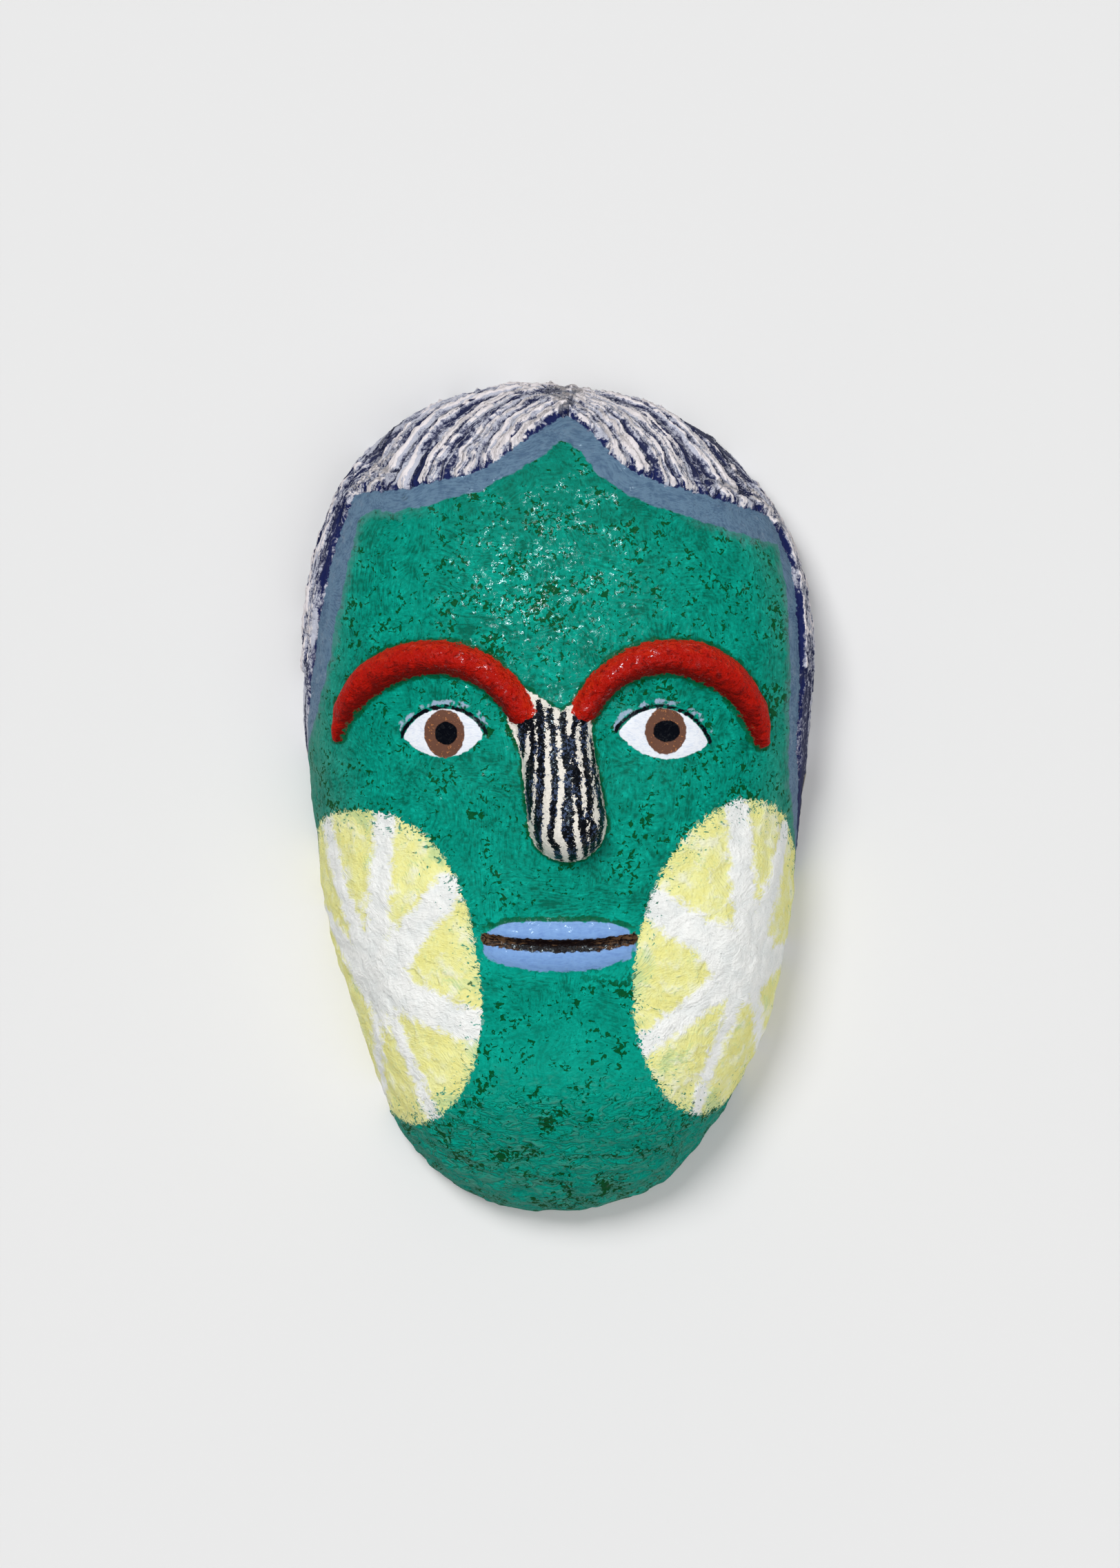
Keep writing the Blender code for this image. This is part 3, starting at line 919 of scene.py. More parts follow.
    def _hair_lift(self, points: np.ndarray, found: dict[Trace, np.ndarray]) -> np.ndarray:
        """Measures the hair's pad, its strokes and the fine strands between them.

        Args:
            points: places on the bare dome.
            found: the traces there.

        Returns:
            The lift of each place.
        """
        hair = self.hair
        inside = smooth_step(found[Trace.HAIR], -0.4, 2.2)
        high = 0.7 * hair.pad * smooth_step(self.rim_share(points), 0.67, 1.0)
        return inside * (hair.pad + hair.stroke_height * found[Trace.RIDGE] - high)

    def rim_share(self, points: np.ndarray) -> np.ndarray:
        """Gives how near each place is to the rim, from 0 at the apex to 1 on the rim."""
        fall = np.clip(points[:, 2] / self.form.crown_depth, 0.0, 1.0) ** (self.form.profile_power / 2.0)
        return np.arccos(fall) * 2.0 / math.pi

    def _grain(self, points: np.ndarray, found: dict[Trace, np.ndarray]) -> np.ndarray:
        """Measures the pulp's knobs, crumbs and pits, and traces the pits.

        Args:
            points: places on the bare dome.
            found: the traces there, which get the pits'.

        Returns:
            The lift of each place.
        """
        plain = 1.0 - 0.75 * smooth_step(found[Trace.BAND], -1.0, 1.0)
        plain *= 1.0 - 0.7 * smooth_step(np.maximum(found[Trace.WHITE], found[Trace.LIPS]), -0.5, 1.0)
        rough_cheek = smooth_step(found[Trace.CHEEK], -3.0, 3.0)
        rough_brow = smooth_step(found[Trace.BROW], -1.0, 2.0)
        side = smooth_step(self.rim_share(points), 0.62, 0.85)
        rough = 1.0 + 0.9 * rough_cheek + 1.8 * rough_brow + side
        knobs = self.knob_height * pulp_noise(points, self.knob_size, 3.1) * rough
        crumbs = self.crumb_height * pulp_noise(points, self.crumb_size, 7.7) * (1.0 - 0.2 * rough_cheek)
        chin = smooth_step(-points[:, 1], *self.chin_levels) * (1.0 - rough_cheek)
        ripples = pulp_noise(points * self.ripple_stretch, self.ripple_size, 9.4)
        crumbs += self.ripple_height * ripples * chin
        wide, narrow = self.pit_sizes
        deep = 0.7 * pulp_noise(points, wide, 11.3) + pulp_noise(points, narrow, 5.9)
        pits = smooth_step(deep, *self.pit_levels) * plain * (1.0 - rough_cheek)
        pits *= 1.0 - smooth_step(np.maximum(found[Trace.BROW], found[Trace.NOSE]), -1.0, 0.5)
        found[Trace.PIT] = pits
        near_rim = smooth_step(points[:, 2], 0.0, self.calm_rim)
        return (plain * (knobs + crumbs) - self.pit_depth * pits) * near_rim


@dataclass
class MaskShell:
    """The mask's one closed mesh: a fine outer skin, a plainer inner one, and the cut rim between them."""

    face: PulpFace
    coarse_steps: int = 196
    inner_steps: int = 88
    outside_map: tuple[float, float, float, float] = (0.0, 0.0, 0.66, 1.0)
    inside_map: tuple[float, float, float, float] = (0.68, 0.0, 0.31, 0.47)
    inner_lump: float = 0.8
    drawn_middle: Pair = (-0.25, 0.5)
    rim_map: Pair = (0.84, 0.73)
    rim_map_width: float = 640.0

    def build(self) -> bpy.types.Object:
        """Builds the mask in the scene.

        Returns:
            The mask as one object, seated in the box of the solid that it replaces.
        """
        outer, outer_sheet, traces = self._outer_skin()
        inner, inner_sheet = self._inner_skin()
        for trace in Trace:
            layer = outer.verts.layers.float.new(trace.value)
            for vertex, value in zip(outer.verts, traces[trace].tolist()):
                vertex[layer] = value
        self._map(outer, outer_sheet, self.outside_map)
        self._map(inner, inner_sheet, self.inside_map)
        for face in inner.faces:
            face.material_index = Skin.INSIDE.value
        bmesh.ops.reverse_faces(inner, faces=inner.faces)
        joined = bpy.data.meshes.new("inner skin")
        inner.to_mesh(joined)
        inner.free()
        outer.from_mesh(joined)
        bpy.data.meshes.remove(joined)
        self._close_rim(outer)
        mesh = bpy.data.meshes.new("painted_mask")
        outer.to_mesh(mesh)
        outer.free()
        mesh.shade_smooth()
        self._seat(mesh, self.drawn_middle)
        mask = bpy.data.objects.new("painted_mask", mesh)
        bpy.context.scene.collection.objects.link(mask)
        return mask

    @staticmethod
    def _sheet(steps: int) -> bmesh.types.BMesh:
        """Makes an open square sheet of even quads, two units wide.

        Args:
            steps: how many quads lie along a side.

        Returns:
            The sheet.
        """
        sheet = bmesh.new()
        bmesh.ops.create_grid(sheet, x_segments=steps, y_segments=steps, size=1.0)
        return sheet

    @staticmethod
    def _places(cage: bmesh.types.BMesh) -> np.ndarray:
        """Reads the points of a cage as rows."""
        return np.array([vertex.co[:] for vertex in cage.verts])

    @staticmethod
    def _move(cage: bmesh.types.BMesh, places: np.ndarray) -> None:
        """Moves the points of a cage."""
        for vertex, place in zip(cage.verts, places.tolist()):
            vertex.co = place

    @staticmethod
    def _outward(cage: bmesh.types.BMesh, tilt: np.ndarray) -> np.ndarray:
        """Reads the outward direction at each point, level along the rim.

        Args:
            cage: the skin.
            tilt: its points' angles from the apex.

        Returns:
            One direction for each point.
        """
        cage.normal_update()
        outward = np.array([vertex.normal[:] for vertex in cage.verts])
        outward *= np.where(outward[:, 2].mean() < 0.0, -1.0, 1.0)
        outward[tilt > math.pi / 2 - RIM_ANGLE_SLACK, 2] = 0.0
        return outward

    def _outer_skin(self) -> tuple[bmesh.types.BMesh, np.ndarray, dict[Trace, np.ndarray]]:
        """Builds the outer skin, finer where it is carved.

        Returns:
            The skin, each point's place on the flat sheet, and the paint's traces.
        """
        cage = self._sheet(self.coarse_steps)
        middles = np.array([face.calc_center_median()[:] for face in cage.faces])
        direction, tilt = self.face.form.angles(middles)
        flat = self.face.form.point(direction, tilt)
        wanted = self.face.wants_detail(self.face.traces(flat, direction, tilt))
        edges = {edge for face, fine in zip(cage.faces, wanted) if fine for edge in face.edges}
        order = sorted(edges, key=lambda edge: edge.index)
        bmesh.ops.subdivide_edges(cage, edges=order, cuts=1, use_grid_fill=True)
        bmesh.ops.triangulate(cage, faces=[face for face in cage.faces if len(face.verts) > 4])
        sheet = self._places(cage)
        direction, tilt = self.face.form.angles(sheet)
        bare = self.face.form.point(direction, tilt)
        self._move(cage, bare)
        outward = self._outward(cage, tilt)
        traces = self.face.traces(bare, direction, tilt)
        self._move(cage, bare + outward * self.face.carve(bare, traces)[:, None])
        return cage, sheet, traces

    def _inner_skin(self) -> tuple[bmesh.types.BMesh, np.ndarray]:
        """Builds the inner skin, one wall below the bare form.

        Returns:
            The skin and each point's place on the flat sheet.
        """
        form = self.face.form
        cage = self._sheet(self.inner_steps)
        sheet = self._places(cage)
        direction, tilt = form.angles(sheet)
        bare = form.point(direction, tilt, form.wall)
        self._move(cage, bare)
        outward = self._outward(cage, tilt)
        lumps = self.inner_lump * (pulp_noise(bare, 17.0, 2.2) + 0.5 * pulp_noise(bare, 7.0, 4.4))
        lift = form.broad_form(bare) + lumps * smooth_step(bare[:, 2], 0.0, 6.0)
        self._move(cage, bare + outward * lift[:, None])
        return cage, sheet

    @staticmethod
    def _map(cage: bmesh.types.BMesh, sheet: np.ndarray, window: tuple[float, float, float, float]) -> None:
        """Maps a skin to its window of the texture square, as it lay on the flat sheet.

        Args:
            cage: the skin.
            sheet: its points' places on the sheet.
            window: left, bottom, width and height.
        """
        layer = cage.loops.layers.uv.new("OFBake")
        cage.verts.index_update()
        left, low, width, height = window
        places = np.stack([left + width * (sheet[:, 0] + 1) / 2, low + height * (sheet[:, 1] + 1) / 2], 1)
        rows = places.tolist()
        for face in cage.faces:
            for loop in face.loops:
                loop[layer].uv = rows[loop.vert.index]

    def _close_rim(self, cage: bmesh.types.BMesh) -> None:
        """Joins the two skins with the flat cut rim.

        Args:
            cage: both skins.
        """
        border = [edge for edge in cage.edges if edge.is_boundary]
        made = bmesh.ops.bridge_loops(cage, edges=border)["faces"]
        layer = cage.loops.layers.uv.active
        for face in made:
            face.material_index = Skin.INSIDE.value
            face.smooth = False
            for loop in face.loops:
                across, along = loop.vert.co.x / self.rim_map_width, loop.vert.co.y / self.rim_map_width
                loop[layer].uv = (self.rim_map[0] + across, self.rim_map[1] + along)
        bmesh.ops.recalc_face_normals(cage, faces=cage.faces)

    @staticmethod
    def _seat(mesh: bpy.types.Mesh, drawn_middle: Pair) -> None:
        """Turns millimetres into metres and seats the mesh in its solid's box, on the same rim plane.

        Args:
            mesh: the mask, as drawn.
            drawn_middle: the place in the drawing that lies at the middle of the solid's box.
        """
        points = np.empty(len(mesh.vertices) * 3, np.float32)
        mesh.vertices.foreach_get("co", points)
        points = points.reshape(-1, 3).astype(float) * MM
        low, high = (np.array(corner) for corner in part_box(NODE))
        points[:, :2] += ((low + high) / 2)[:2] - np.array(drawn_middle) * MM
        points[:, 2] += low[2]
        mesh.vertices.foreach_set("co", points.astype(np.float32).ravel())
        mesh.update()


@dataclass(frozen=True)
class Signal:
    """A number that varies over a surface. Sums and products of signals add their own Math nodes."""

    tree: "PaintTree"
    socket: bpy.types.NodeSocket

    def _math(self, operation: str, *others: "Signal | float") -> "Signal":
        """Adds one Math node of this operation, with this signal first."""
        return self.tree.math(operation, self, *others)

    def __add__(self, other: "Signal | float") -> "Signal":
        """Adds."""
        return self._math("ADD", other)

    __radd__ = __add__

    def __sub__(self, other: "Signal | float") -> "Signal":
        """Takes the other away."""
        return self._math("SUBTRACT", other)

    def __rsub__(self, other: float) -> "Signal":
        """Takes this away from a number."""
        return self.tree.math("SUBTRACT", other, self)

    def __mul__(self, other: "Signal | float") -> "Signal":
        """Multiplies."""
        return self._math("MULTIPLY", other)

    __rmul__ = __mul__

    def __abs__(self) -> "Signal":
        """Drops the sign."""
        return self._math("ABSOLUTE")

    def step(self, low: float, high: float) -> "Signal":
        """Turns evenly from 0 at low to 1 at high.

        Args:
            low: where the turn begins.
            high: where it ends.

        Returns:
            The share as a signal.
        """
        return self.tree.node(
            "ShaderNodeMapRange",
            {"interpolation_type": "SMOOTHSTEP"},
            {"Value": self, "From Min": low, "From Max": high},
            "Result",
        )

    def most(self, other: "Signal | float") -> "Signal":
        """Takes the greater."""
        return self._math("MAXIMUM", other)

    def least(self, other: "Signal | float") -> "Signal":
        """Takes the smaller."""
        return self._math("MINIMUM", other)


class PaintTree:
    """One material's nodes, added as expressions are written."""

    NOISE_MIDDLE = 0.5
    NOISE_GAIN = 4.5
    WANDER_SIZE = 30.0
    UNDER, OVER, MIXED = 6, 7, 2

    def __init__(self, name: str) -> None:
        """Starts a material with a plain Principled shader.

        Args:
            name: the material's name.
        """
        self.material = bpy.data.materials.new(name)
        self.material.use_nodes = True
        self.nodes = self.material.node_tree.nodes
        self.links = self.material.node_tree.links
        self.shader = self.nodes["Principled BSDF"]
        place = self.node("ShaderNodeTexCoord", {}, {}, "Object")
        self.place = self.scaled(place, (1.0 / MM, 1.0 / MM, 1.0 / MM))

    def node(self, kind: str, settings: dict, inputs: dict, output: str) -> Signal:
        """Adds any node.

        Args:
            kind: the node's type.
            settings: its own settings, set before its sockets.
            inputs: a number, colour, vector or signal for each named or numbered socket.
            output: the name of the output that is wanted.

        Returns:
            That output.
        """
        made = self.nodes.new(kind)
        for name, value in settings.items():
            setattr(made, name, value)
        for name, value in inputs.items():
            socket = made.inputs[name]
            if isinstance(value, Signal):
                self.links.new(value.socket, socket)
            else:
                socket.default_value = value
        return Signal(self, made.outputs[output])

    def math(self, operation: str, *values: Signal | float) -> Signal:
        """Adds a Math node of this operation on these values."""
        return self.node("ShaderNodeMath", {"operation": operation}, dict(enumerate(values)), "Value")

    def trace(self, trace: Trace) -> Signal:
        """Reads what the skin's points carry."""
        return self.node("ShaderNodeAttribute", {"attribute_name": trace.value}, {}, "Fac")

    def axis(self, letter: str) -> Signal:
        """Reads one coordinate of the place on the object, in millimetres."""
        return self.node("ShaderNodeSeparateXYZ", {}, {"Vector": self.place}, letter)

    def scaled(self, vector: Signal, scale: Triple) -> Signal:
        """Stretches a vector."""
        return self.node("ShaderNodeVectorMath", {"operation": "MULTIPLY"}, {0: vector, 1: scale}, "Vector")

    def shifted(self, vector: Signal, by: Signal | Triple) -> Signal:
        """Moves a vector."""
        return self.node("ShaderNodeVectorMath", {"operation": "ADD"}, {0: vector, 1: by}, "Vector")

    def together(self, x: Signal, y: Signal, z: Signal | float) -> Signal:
        """Makes a vector of three signals."""
        return self.node("ShaderNodeCombineXYZ", {}, {"X": x, "Y": y, "Z": z}, "Vector")

    def grain(self, size: float, detail: float = 2.0, at: Signal | None = None, twist: float = 0.0) -> Signal:
        """Reads a noise texture as a signal round 0; size is how far apart its lumps lie, in millimetres."""
        inputs = {"Vector": at or self.place, "Scale": 1.0 / size, "Detail": detail, "Distortion": twist}
        return (self._noise(inputs, "Fac") - self.NOISE_MIDDLE) * self.NOISE_GAIN

    def wandered(self, reach: float, detail: float) -> Signal:
        """Moves the place on the object about by a slow random field, reach millimetres wide."""
        slow = self._noise({"Vector": self.place, "Scale": 1.0 / self.WANDER_SIZE, "Detail": detail}, "Color")
        return self.shifted(self.place, self.scaled(slow, (reach, reach, reach)))

    def _noise(self, inputs: dict, output: str) -> Signal:
        """Adds a noise texture."""
        return self.node("ShaderNodeTexNoise", {"noise_dimensions": "3D"}, inputs, output)

    def blend(self, share: Signal | float, under: Signal | Colour, over: Signal | Colour) -> Signal:
        """Lays one colour over another.

        Args:
            share: how much of the upper colour shows.
            under: the lower colour.
            over: the upper colour.

        Returns:
            The mixed colour.
        """
        inputs = {0: share, self.UNDER: self._rgba(under), self.OVER: self._rgba(over)}
        made = self.node("ShaderNodeMix", {"data_type": "RGBA"}, inputs, "Result")
        return Signal(self, made.socket.node.outputs[self.MIXED])

    @staticmethod
    def _rgba(colour: Signal | Colour) -> Signal | tuple[float, float, float, float]:
        """Adds the fourth number that a colour socket wants."""
        return colour if isinstance(colour, Signal) else (*colour, 1.0)

    def finish(self, colour: Signal, roughness: Signal, height: Signal) -> bpy.types.Material:
        """Links what varies to the shader.

        Args:
            colour: the base colour.
            roughness: the roughness.
            height: the fine relief, in millimetres.

        Returns:
            The material.
        """
        self.links.new(colour.socket, self.shader.inputs["Base Color"])
        self.links.new(roughness.socket, self.shader.inputs["Roughness"])
        self.links.new(self.bump(height).socket, self.shader.inputs["Normal"])
        return self.material

    def bump(self, height: Signal) -> Signal:
        """Turns a height in millimetres into a normal."""
        inputs = {"Strength": 1.0, "Distance": 1.0, "Height": height * MM}
        return self.node("ShaderNodeBump", {}, inputs, "Normal")

    def varnish(self, share: Signal, colour: Signal, height: Signal, roughness: float, gloss: float) -> None:
        """Lays a clear varnish over part of the paint.

        Args:
            share: where it covers.
            colour: the paint's colour under it.
            height: its relief, in millimetres.
            roughness: how rough its surface is.
            gloss: how strongly it reflects, where 0.5 is usual.
        """
        inputs = {"Base Color": colour, "Roughness": roughness, "Specular IOR Level": gloss}
        glossy = self.node("ShaderNodeBsdfPrincipled", {}, {**inputs, "Normal": self.bump(height)}, "BSDF")
        plain = Signal(self, self.shader.outputs["BSDF"])
        mixed = self.node("ShaderNodeMixShader", {}, {0: share, 1: plain, 2: glossy}, "Shader")
        self.links.new(mixed.socket, self.nodes["Material Output"].inputs["Surface"])


def pot(red: int, green: int, blue: int) -> Colour:
    """Turns a paint's colour, as a screen shows it, into the shader's linear one.

    Args:
        red: red from 0 to 255.
        green: green from 0 to 255.
        blue: blue from 0 to 255.

    Returns:
        The linear colour.
    """
    shares = [value / 255.0 for value in (red, green, blue)]
    linear = [share / 12.92 if share <= 0.04045 else ((share + 0.055) / 1.055) ** 2.4 for share in shares]
    return linear[0], linear[1], linear[2]


@dataclass
class Coats:
    """The paint as it is laid coat over coat: the colour, the roughness and the brushed relief so far."""

    tree: PaintTree
    colour: Signal
    roughness: Signal
    height: Signal
    varnish: Signal

    def lay(
        self,
        share: Signal,
        colour: Signal | Colour,
        roughness: Signal | float,
        height: Signal | float,
        varnish: Signal | float,
    ) -> None:
        """Lays one more paint.

        Args:
            share: where it covers.
            colour: its colour.
            roughness: its roughness.
            height: its own relief in millimetres, in place of what is under it.
            varnish: how much of it is varnished.
        """
        self.colour = self.tree.blend(share, self.colour, colour)
        self.roughness = self.roughness + share * (roughness - self.roughness)
        self.height = self.height + share * (height - self.height)
        self.varnish = self.varnish + share * (varnish - self.varnish)


@dataclass(frozen=True)
class PaintedFace:
    """The painted and varnished outside."""

    green: Colour = pot(0, 142, 122)
    light_green: Colour = pot(4, 168, 147)
    lit_side_and_streak_green: Colour = pot(70, 138, 120)
    pit_green: Colour = pot(0, 74, 28)
    deep_green: Colour = pot(0, 100, 80)
    slate: Colour = pot(100, 128, 152)
    smear: Colour = pot(92, 130, 134)
    slate_dark: Colour = pot(76, 102, 130)
    navy: Colour = pot(26, 34, 82)
    slate_navy: Colour = pot(40, 44, 74)
    lavender: Colour = pot(116, 119, 142)
    pale_wash: Colour = pot(196, 198, 211)
    ridge_white: Colour = pot(236, 229, 231)
    red: Colour = pot(176, 20, 7)
    orange_red: Colour = pot(206, 44, 14)
    dark_red: Colour = pot(104, 10, 8)
    cream: Colour = pot(236, 231, 221)
    cream_shade: Colour = pot(206, 202, 196)
    black: Colour = pot(6, 8, 16)
    glint_blue: Colour = pot(66, 80, 110)
    eye_white: Colour = pot(236, 240, 247)
    eye_shade: Colour = pot(206, 216, 234)
    iris_brown: Colour = pot(106, 72, 58)
    copper: Colour = pot(186, 122, 76)
    lid_wash: Colour = pot(160, 180, 206)
    lips: Colour = pot(128, 167, 220)
    lips_dark: Colour = pot(116, 153, 210)
    mouth: Colour = pot(20, 12, 12)
    mouth_brown: Colour = pot(92, 68, 48)
    yellow: Colour = pot(240, 240, 168)
    yellow_deep: Colour = pot(236, 232, 146)
    yellow_pale: Colour = pot(242, 243, 208)
    yellow_green: Colour = pot(184, 212, 152)
    ray_white: Colour = pot(247, 248, 245)
    ray_shade: Colour = pot(236, 239, 237)
    paint_gloss: float = 0.05
    varnish_gloss: float = 0.8
    varnish_roughness: float = 0.26
    fleck_curl: Pair = (0.07, 0.22)
    fleck_gate: Pair = (-0.05, 0.2)
    brush_bend: float = 22.0
    lower_light_levels: Pair = (-100.0, -58.0)
    chin_levels: Pair = (-118.0, -92.0)
    crown_shade_levels: Pair = (86.0, 112.0)
    side_light_heights: Pair = (14.0, 52.0)
    crack_levels: Pair = (0.46, 0.56)

    def material(self) -> bpy.types.Material:
        """Mixes the whole finish.

        Returns:
            The material of the outside.
        """
        tree = PaintTree("painted pulp")
        tree.shader.inputs["Specular IOR Level"].default_value = self.paint_gloss
        crumb = tree.grain(1.5, 3.0)
        fine = tree.grain(0.6, 2.0)
        coats = self._green_ground(tree, crumb, fine)
        self._band(coats, crumb)
        self._hair(coats, crumb, fine)
        self._cheeks(coats, crumb, fine)
        self._lips(coats, crumb)
        self._eyes(coats, crumb, fine)
        self._outlines(coats, crumb)
        self._nose(coats, crumb, fine)
        self._brows(coats, crumb, fine)
        curl = 1.0 - abs(tree.grain(1.5, 1.0, twist=1.6)).step(*self.fleck_curl)
        flecks = curl * (tree.grain(2.6, 1.0, twist=0.8) + fine * 0.2).step(*self.fleck_gate)
        drops = tree.grain(3.2, 0.0, twist=0.6) * 0.12
        share = coats.varnish * flecks
        tree.varnish(share, coats.colour, drops, self.varnish_roughness, self.varnish_gloss)
        return tree.finish(coats.colour, coats.roughness, coats.height)

    @staticmethod
    def edge(inside: Signal, wobble: Signal, reach: float, soft: float) -> Signal:
        """Gives a hand-painted edge: wobble pushes it in and out by reach, and it fades over soft."""
        return (inside + wobble * reach).step(-soft, soft)

    @staticmethod
    def brushed(tree: PaintTree, stretch: Triple, size: float, bend: float) -> Signal:
        """Gives brush marks of this size that wander by bend and are longest along the least stretch."""
        return tree.grain(size, 2.0, tree.scaled(tree.wandered(bend, 1.0), stretch))

    def _green_ground(self, tree: PaintTree, crumb: Signal, fine: Signal) -> Coats:
        """Brushes the green body colour over the pulp, darker in its pits, with painted light that makes it
        lighter on the lower face and lighter and duller down the sides, and painted shade towards the crown.

        Args:
            tree: the material's nodes.
            crumb: the crumb of the pulp.
            fine: its finest grain.

        Returns:
            The first coat.
        """
        flat = self.brushed(tree, (0.1, 1.0, 1.0), 0.75, self.brush_bend)
        steep = self.brushed(tree, (1.0, 0.1, 1.0), 0.75, self.brush_bend)
        which = tree.grain(22.0, 1.0, twist=1.0).step(-0.3, 0.3)
        streak = flat + which * (steep - flat)
        patch = tree.grain(9.0, 3.0, twist=0.6)
        tone = streak * 0.3 + crumb * 0.26 + patch * 0.34
        colour = tree.blend(tone.step(-0.5, 0.1), self.deep_green, self.green)
        colour = tree.blend((tone + fine * 0.1).step(0.05, 0.5), colour, self.light_green)
        height, level = tree.axis("Z"), tree.axis("Y")
        # painted light: the lower face is painted a lighter green
        colour = tree.blend((1.0 - level.step(*self.lower_light_levels)) * 0.42, colour, self.light_green)
        chin = 1.0 - level.step(*self.chin_levels)
        ripple = tree.grain(2.8, 2.5, tree.scaled(tree.place, (0.5, 1.0, 0.8)), 1.4)
        # painted shade: the green is painted darker towards the crown
        colour = tree.blend(level.step(*self.crown_shade_levels) * 0.35, colour, self.deep_green)
        # painted light: the steep sides are painted a lighter, duller green; the chin's ripple streaks use
        # the same green
        side = (1.0 - height.step(*self.side_light_heights)) * (0.65 + patch * 0.7 + streak * 0.4)
        side = side + chin * (ripple * 0.8 - 0.1)
        colour = tree.blend(side.least(0.85).most(0.0), colour, self.lit_side_and_streak_green)
        rough = tree.grain(1.9, 4.0, twist=0.9)
        cluster = tree.grain(15.0, 1.0, twist=0.5)
        cracks = rough * 0.8 + patch * 0.55 + cluster * 0.25 + tree.trace(Trace.PIT) * 0.3 + chin * 0.02
        specks = cracks.step(*self.crack_levels)
        colour = tree.blend(specks * 0.95, colour, self.pit_green)
        crackle = (1.0 - abs(ripple + fine * 0.15).step(0.03, 0.2)) * chin
        crackle = crackle * (patch + crumb * 0.5).step(-0.4, 0.1)
        colour = tree.blend(crackle * 0.8, colour, self.pit_green)
        halo = (tree.trace(Trace.LIPS) + streak * 1.5 + patch * 1.5).step(-6.0, -1.0) * 0.5
        colour = tree.blend(halo, colour, self.light_green)
        shine = (tree.trace(Trace.VARNISH) * 0.9 + patch * 0.5).step(0.25, 0.7)
        roughness = 0.6 + patch * 0.05
        relief = crumb * 0.1 + fine * 0.025 + streak * 0.04 - specks * 0.15 + chin * abs(ripple) * 0.6
        return Coats(tree, colour, roughness, relief, shine)

    def _band(self, coats: Coats, crumb: Signal) -> None:
        """Paints the slate band between the hair and the face.

        Args:
            coats: the paint so far.
            crumb: the crumb of the pulp.
        """
        tree = coats.tree
        wobble = tree.grain(3.2, 3.0)
        share = self.edge(tree.trace(Trace.BAND), wobble, 0.6, 0.35)
        streak = self.brushed(tree, (0.2, 1.0, 1.0), 0.8, 30.0)
        side = abs(tree.axis("X")).step(40.0, 66.0)
        smear = (tree.trace(Trace.BAND) + wobble * 2.0).step(-4.5, 0.5) * side
        coats.lay(smear * 0.55, self.smear, 0.55, crumb * 0.08, 0.0)
        colour = tree.blend((streak * 0.5 + wobble * 0.4).step(-0.6, 0.4), self.slate_dark, self.slate)
        specks = tree.grain(1.3, 3.0, twist=0.6).step(0.95, 1.1)
        colour = tree.blend(specks * 0.7, colour, self.navy)
        shine = tree.grain(5.4, 2.0).step(0.0, 0.2)
        coats.lay(share, colour, 0.5, crumb * 0.08 + streak * 0.03, shine)

    def _hair(self, coats: Coats, crumb: Signal, fine: Signal) -> None:
        """Paints the hair: navy in its hollows, a dragged grey wash, and white on the strokes' tops, with
        painted light on the left and painted shade at the temples.

        Args:
            coats: the paint so far.
            crumb: the crumb of the pulp.
            fine: its finest grain.
        """
        tree = coats.tree
        inside = tree.trace(Trace.HAIR)
        across, along = tree.trace(Trace.COMB_ACROSS), tree.trace(Trace.COMB_ALONG)
        side = tree.axis("X")
        combed = tree.together(across, along * 0.1, side * 0.02)
        streak = tree.grain(0.7, 3.0, combed)
        wide_streak = tree.grain(3.2, 3.0, combed)
        share = self.edge(inside, tree.grain(1.8, 3.0) + crumb * 0.5, 0.6, 0.3)
        ridge = tree.trace(Trace.RIDGE)
        at_side = abs(side).step(58.0, 76.0)
        edge_dark = (1.0 - inside.step(0.4, 2.6)) * (0.22 - at_side * 0.26)
        # painted light and shade: the hair is painted lighter on the left and darker at the temples
        painted_light_and_shade = (1.0 - side.step(-30.0, 20.0)) * (1.0 - at_side) * 0.12 - at_side * 0.11
        depth = ridge * 0.9 + streak * 0.45 + wide_streak * 0.45 + crumb * 0.3 + fine * 0.12 - edge_dark + painted_light_and_shade
        deep = tree.blend(inside.step(2.0, 7.0) * 0.8, self.navy, self.slate_navy)
        colour = tree.blend(depth.step(-0.14, 0.16), deep, self.lavender)
        colour = tree.blend((depth + fine * 0.15).step(0.1, 0.42) * 0.92, colour, self.pale_wash)
        white = (ridge + crumb * 0.16 + streak * 0.2 + painted_light_and_shade * 0.8).step(0.5, 0.62)
        colour = tree.blend(white, colour, self.ridge_white)
        coats.lay(share, colour, 0.55, streak * 0.14 + crumb * 0.1 + fine * 0.02, 0.0)

    def _cheeks(self, coats: Coats, crumb: Signal, fine: Signal) -> None:
        """Paints the yellow ovals and their white rays, dragged dry over the pulp at the edges, with painted
        light making the yellow paler towards the right.

        Args:
            coats: the paint so far.
            crumb: the crumb of the pulp.
            fine: its finest grain.
        """
        tree = coats.tree
        inside = tree.trace(Trace.CHEEK)
        lumps = tree.grain(4.4, 2.0, twist=0.6)
        dragged = self.brushed(tree, (0.3, 1.0, 1.0), 0.7, 40.0)
        flake = tree.grain(2.2, 2.0, twist=0.8)
        share = self.edge(inside, flake * 0.9 + crumb * 0.4 + dragged * 0.4, 1.3, 0.16)
        worn = (flake * 0.7 + dragged * 0.6 - inside * 0.07).step(0.3, 0.38)
        share = share * (1.0 - worn * 0.85)
        patch = tree.grain(9.0, 3.0)
        colour = tree.blend((patch * 0.6 + crumb * 0.4).step(-0.7, 0.5), self.yellow_deep, self.yellow)
        side = tree.axis("X")
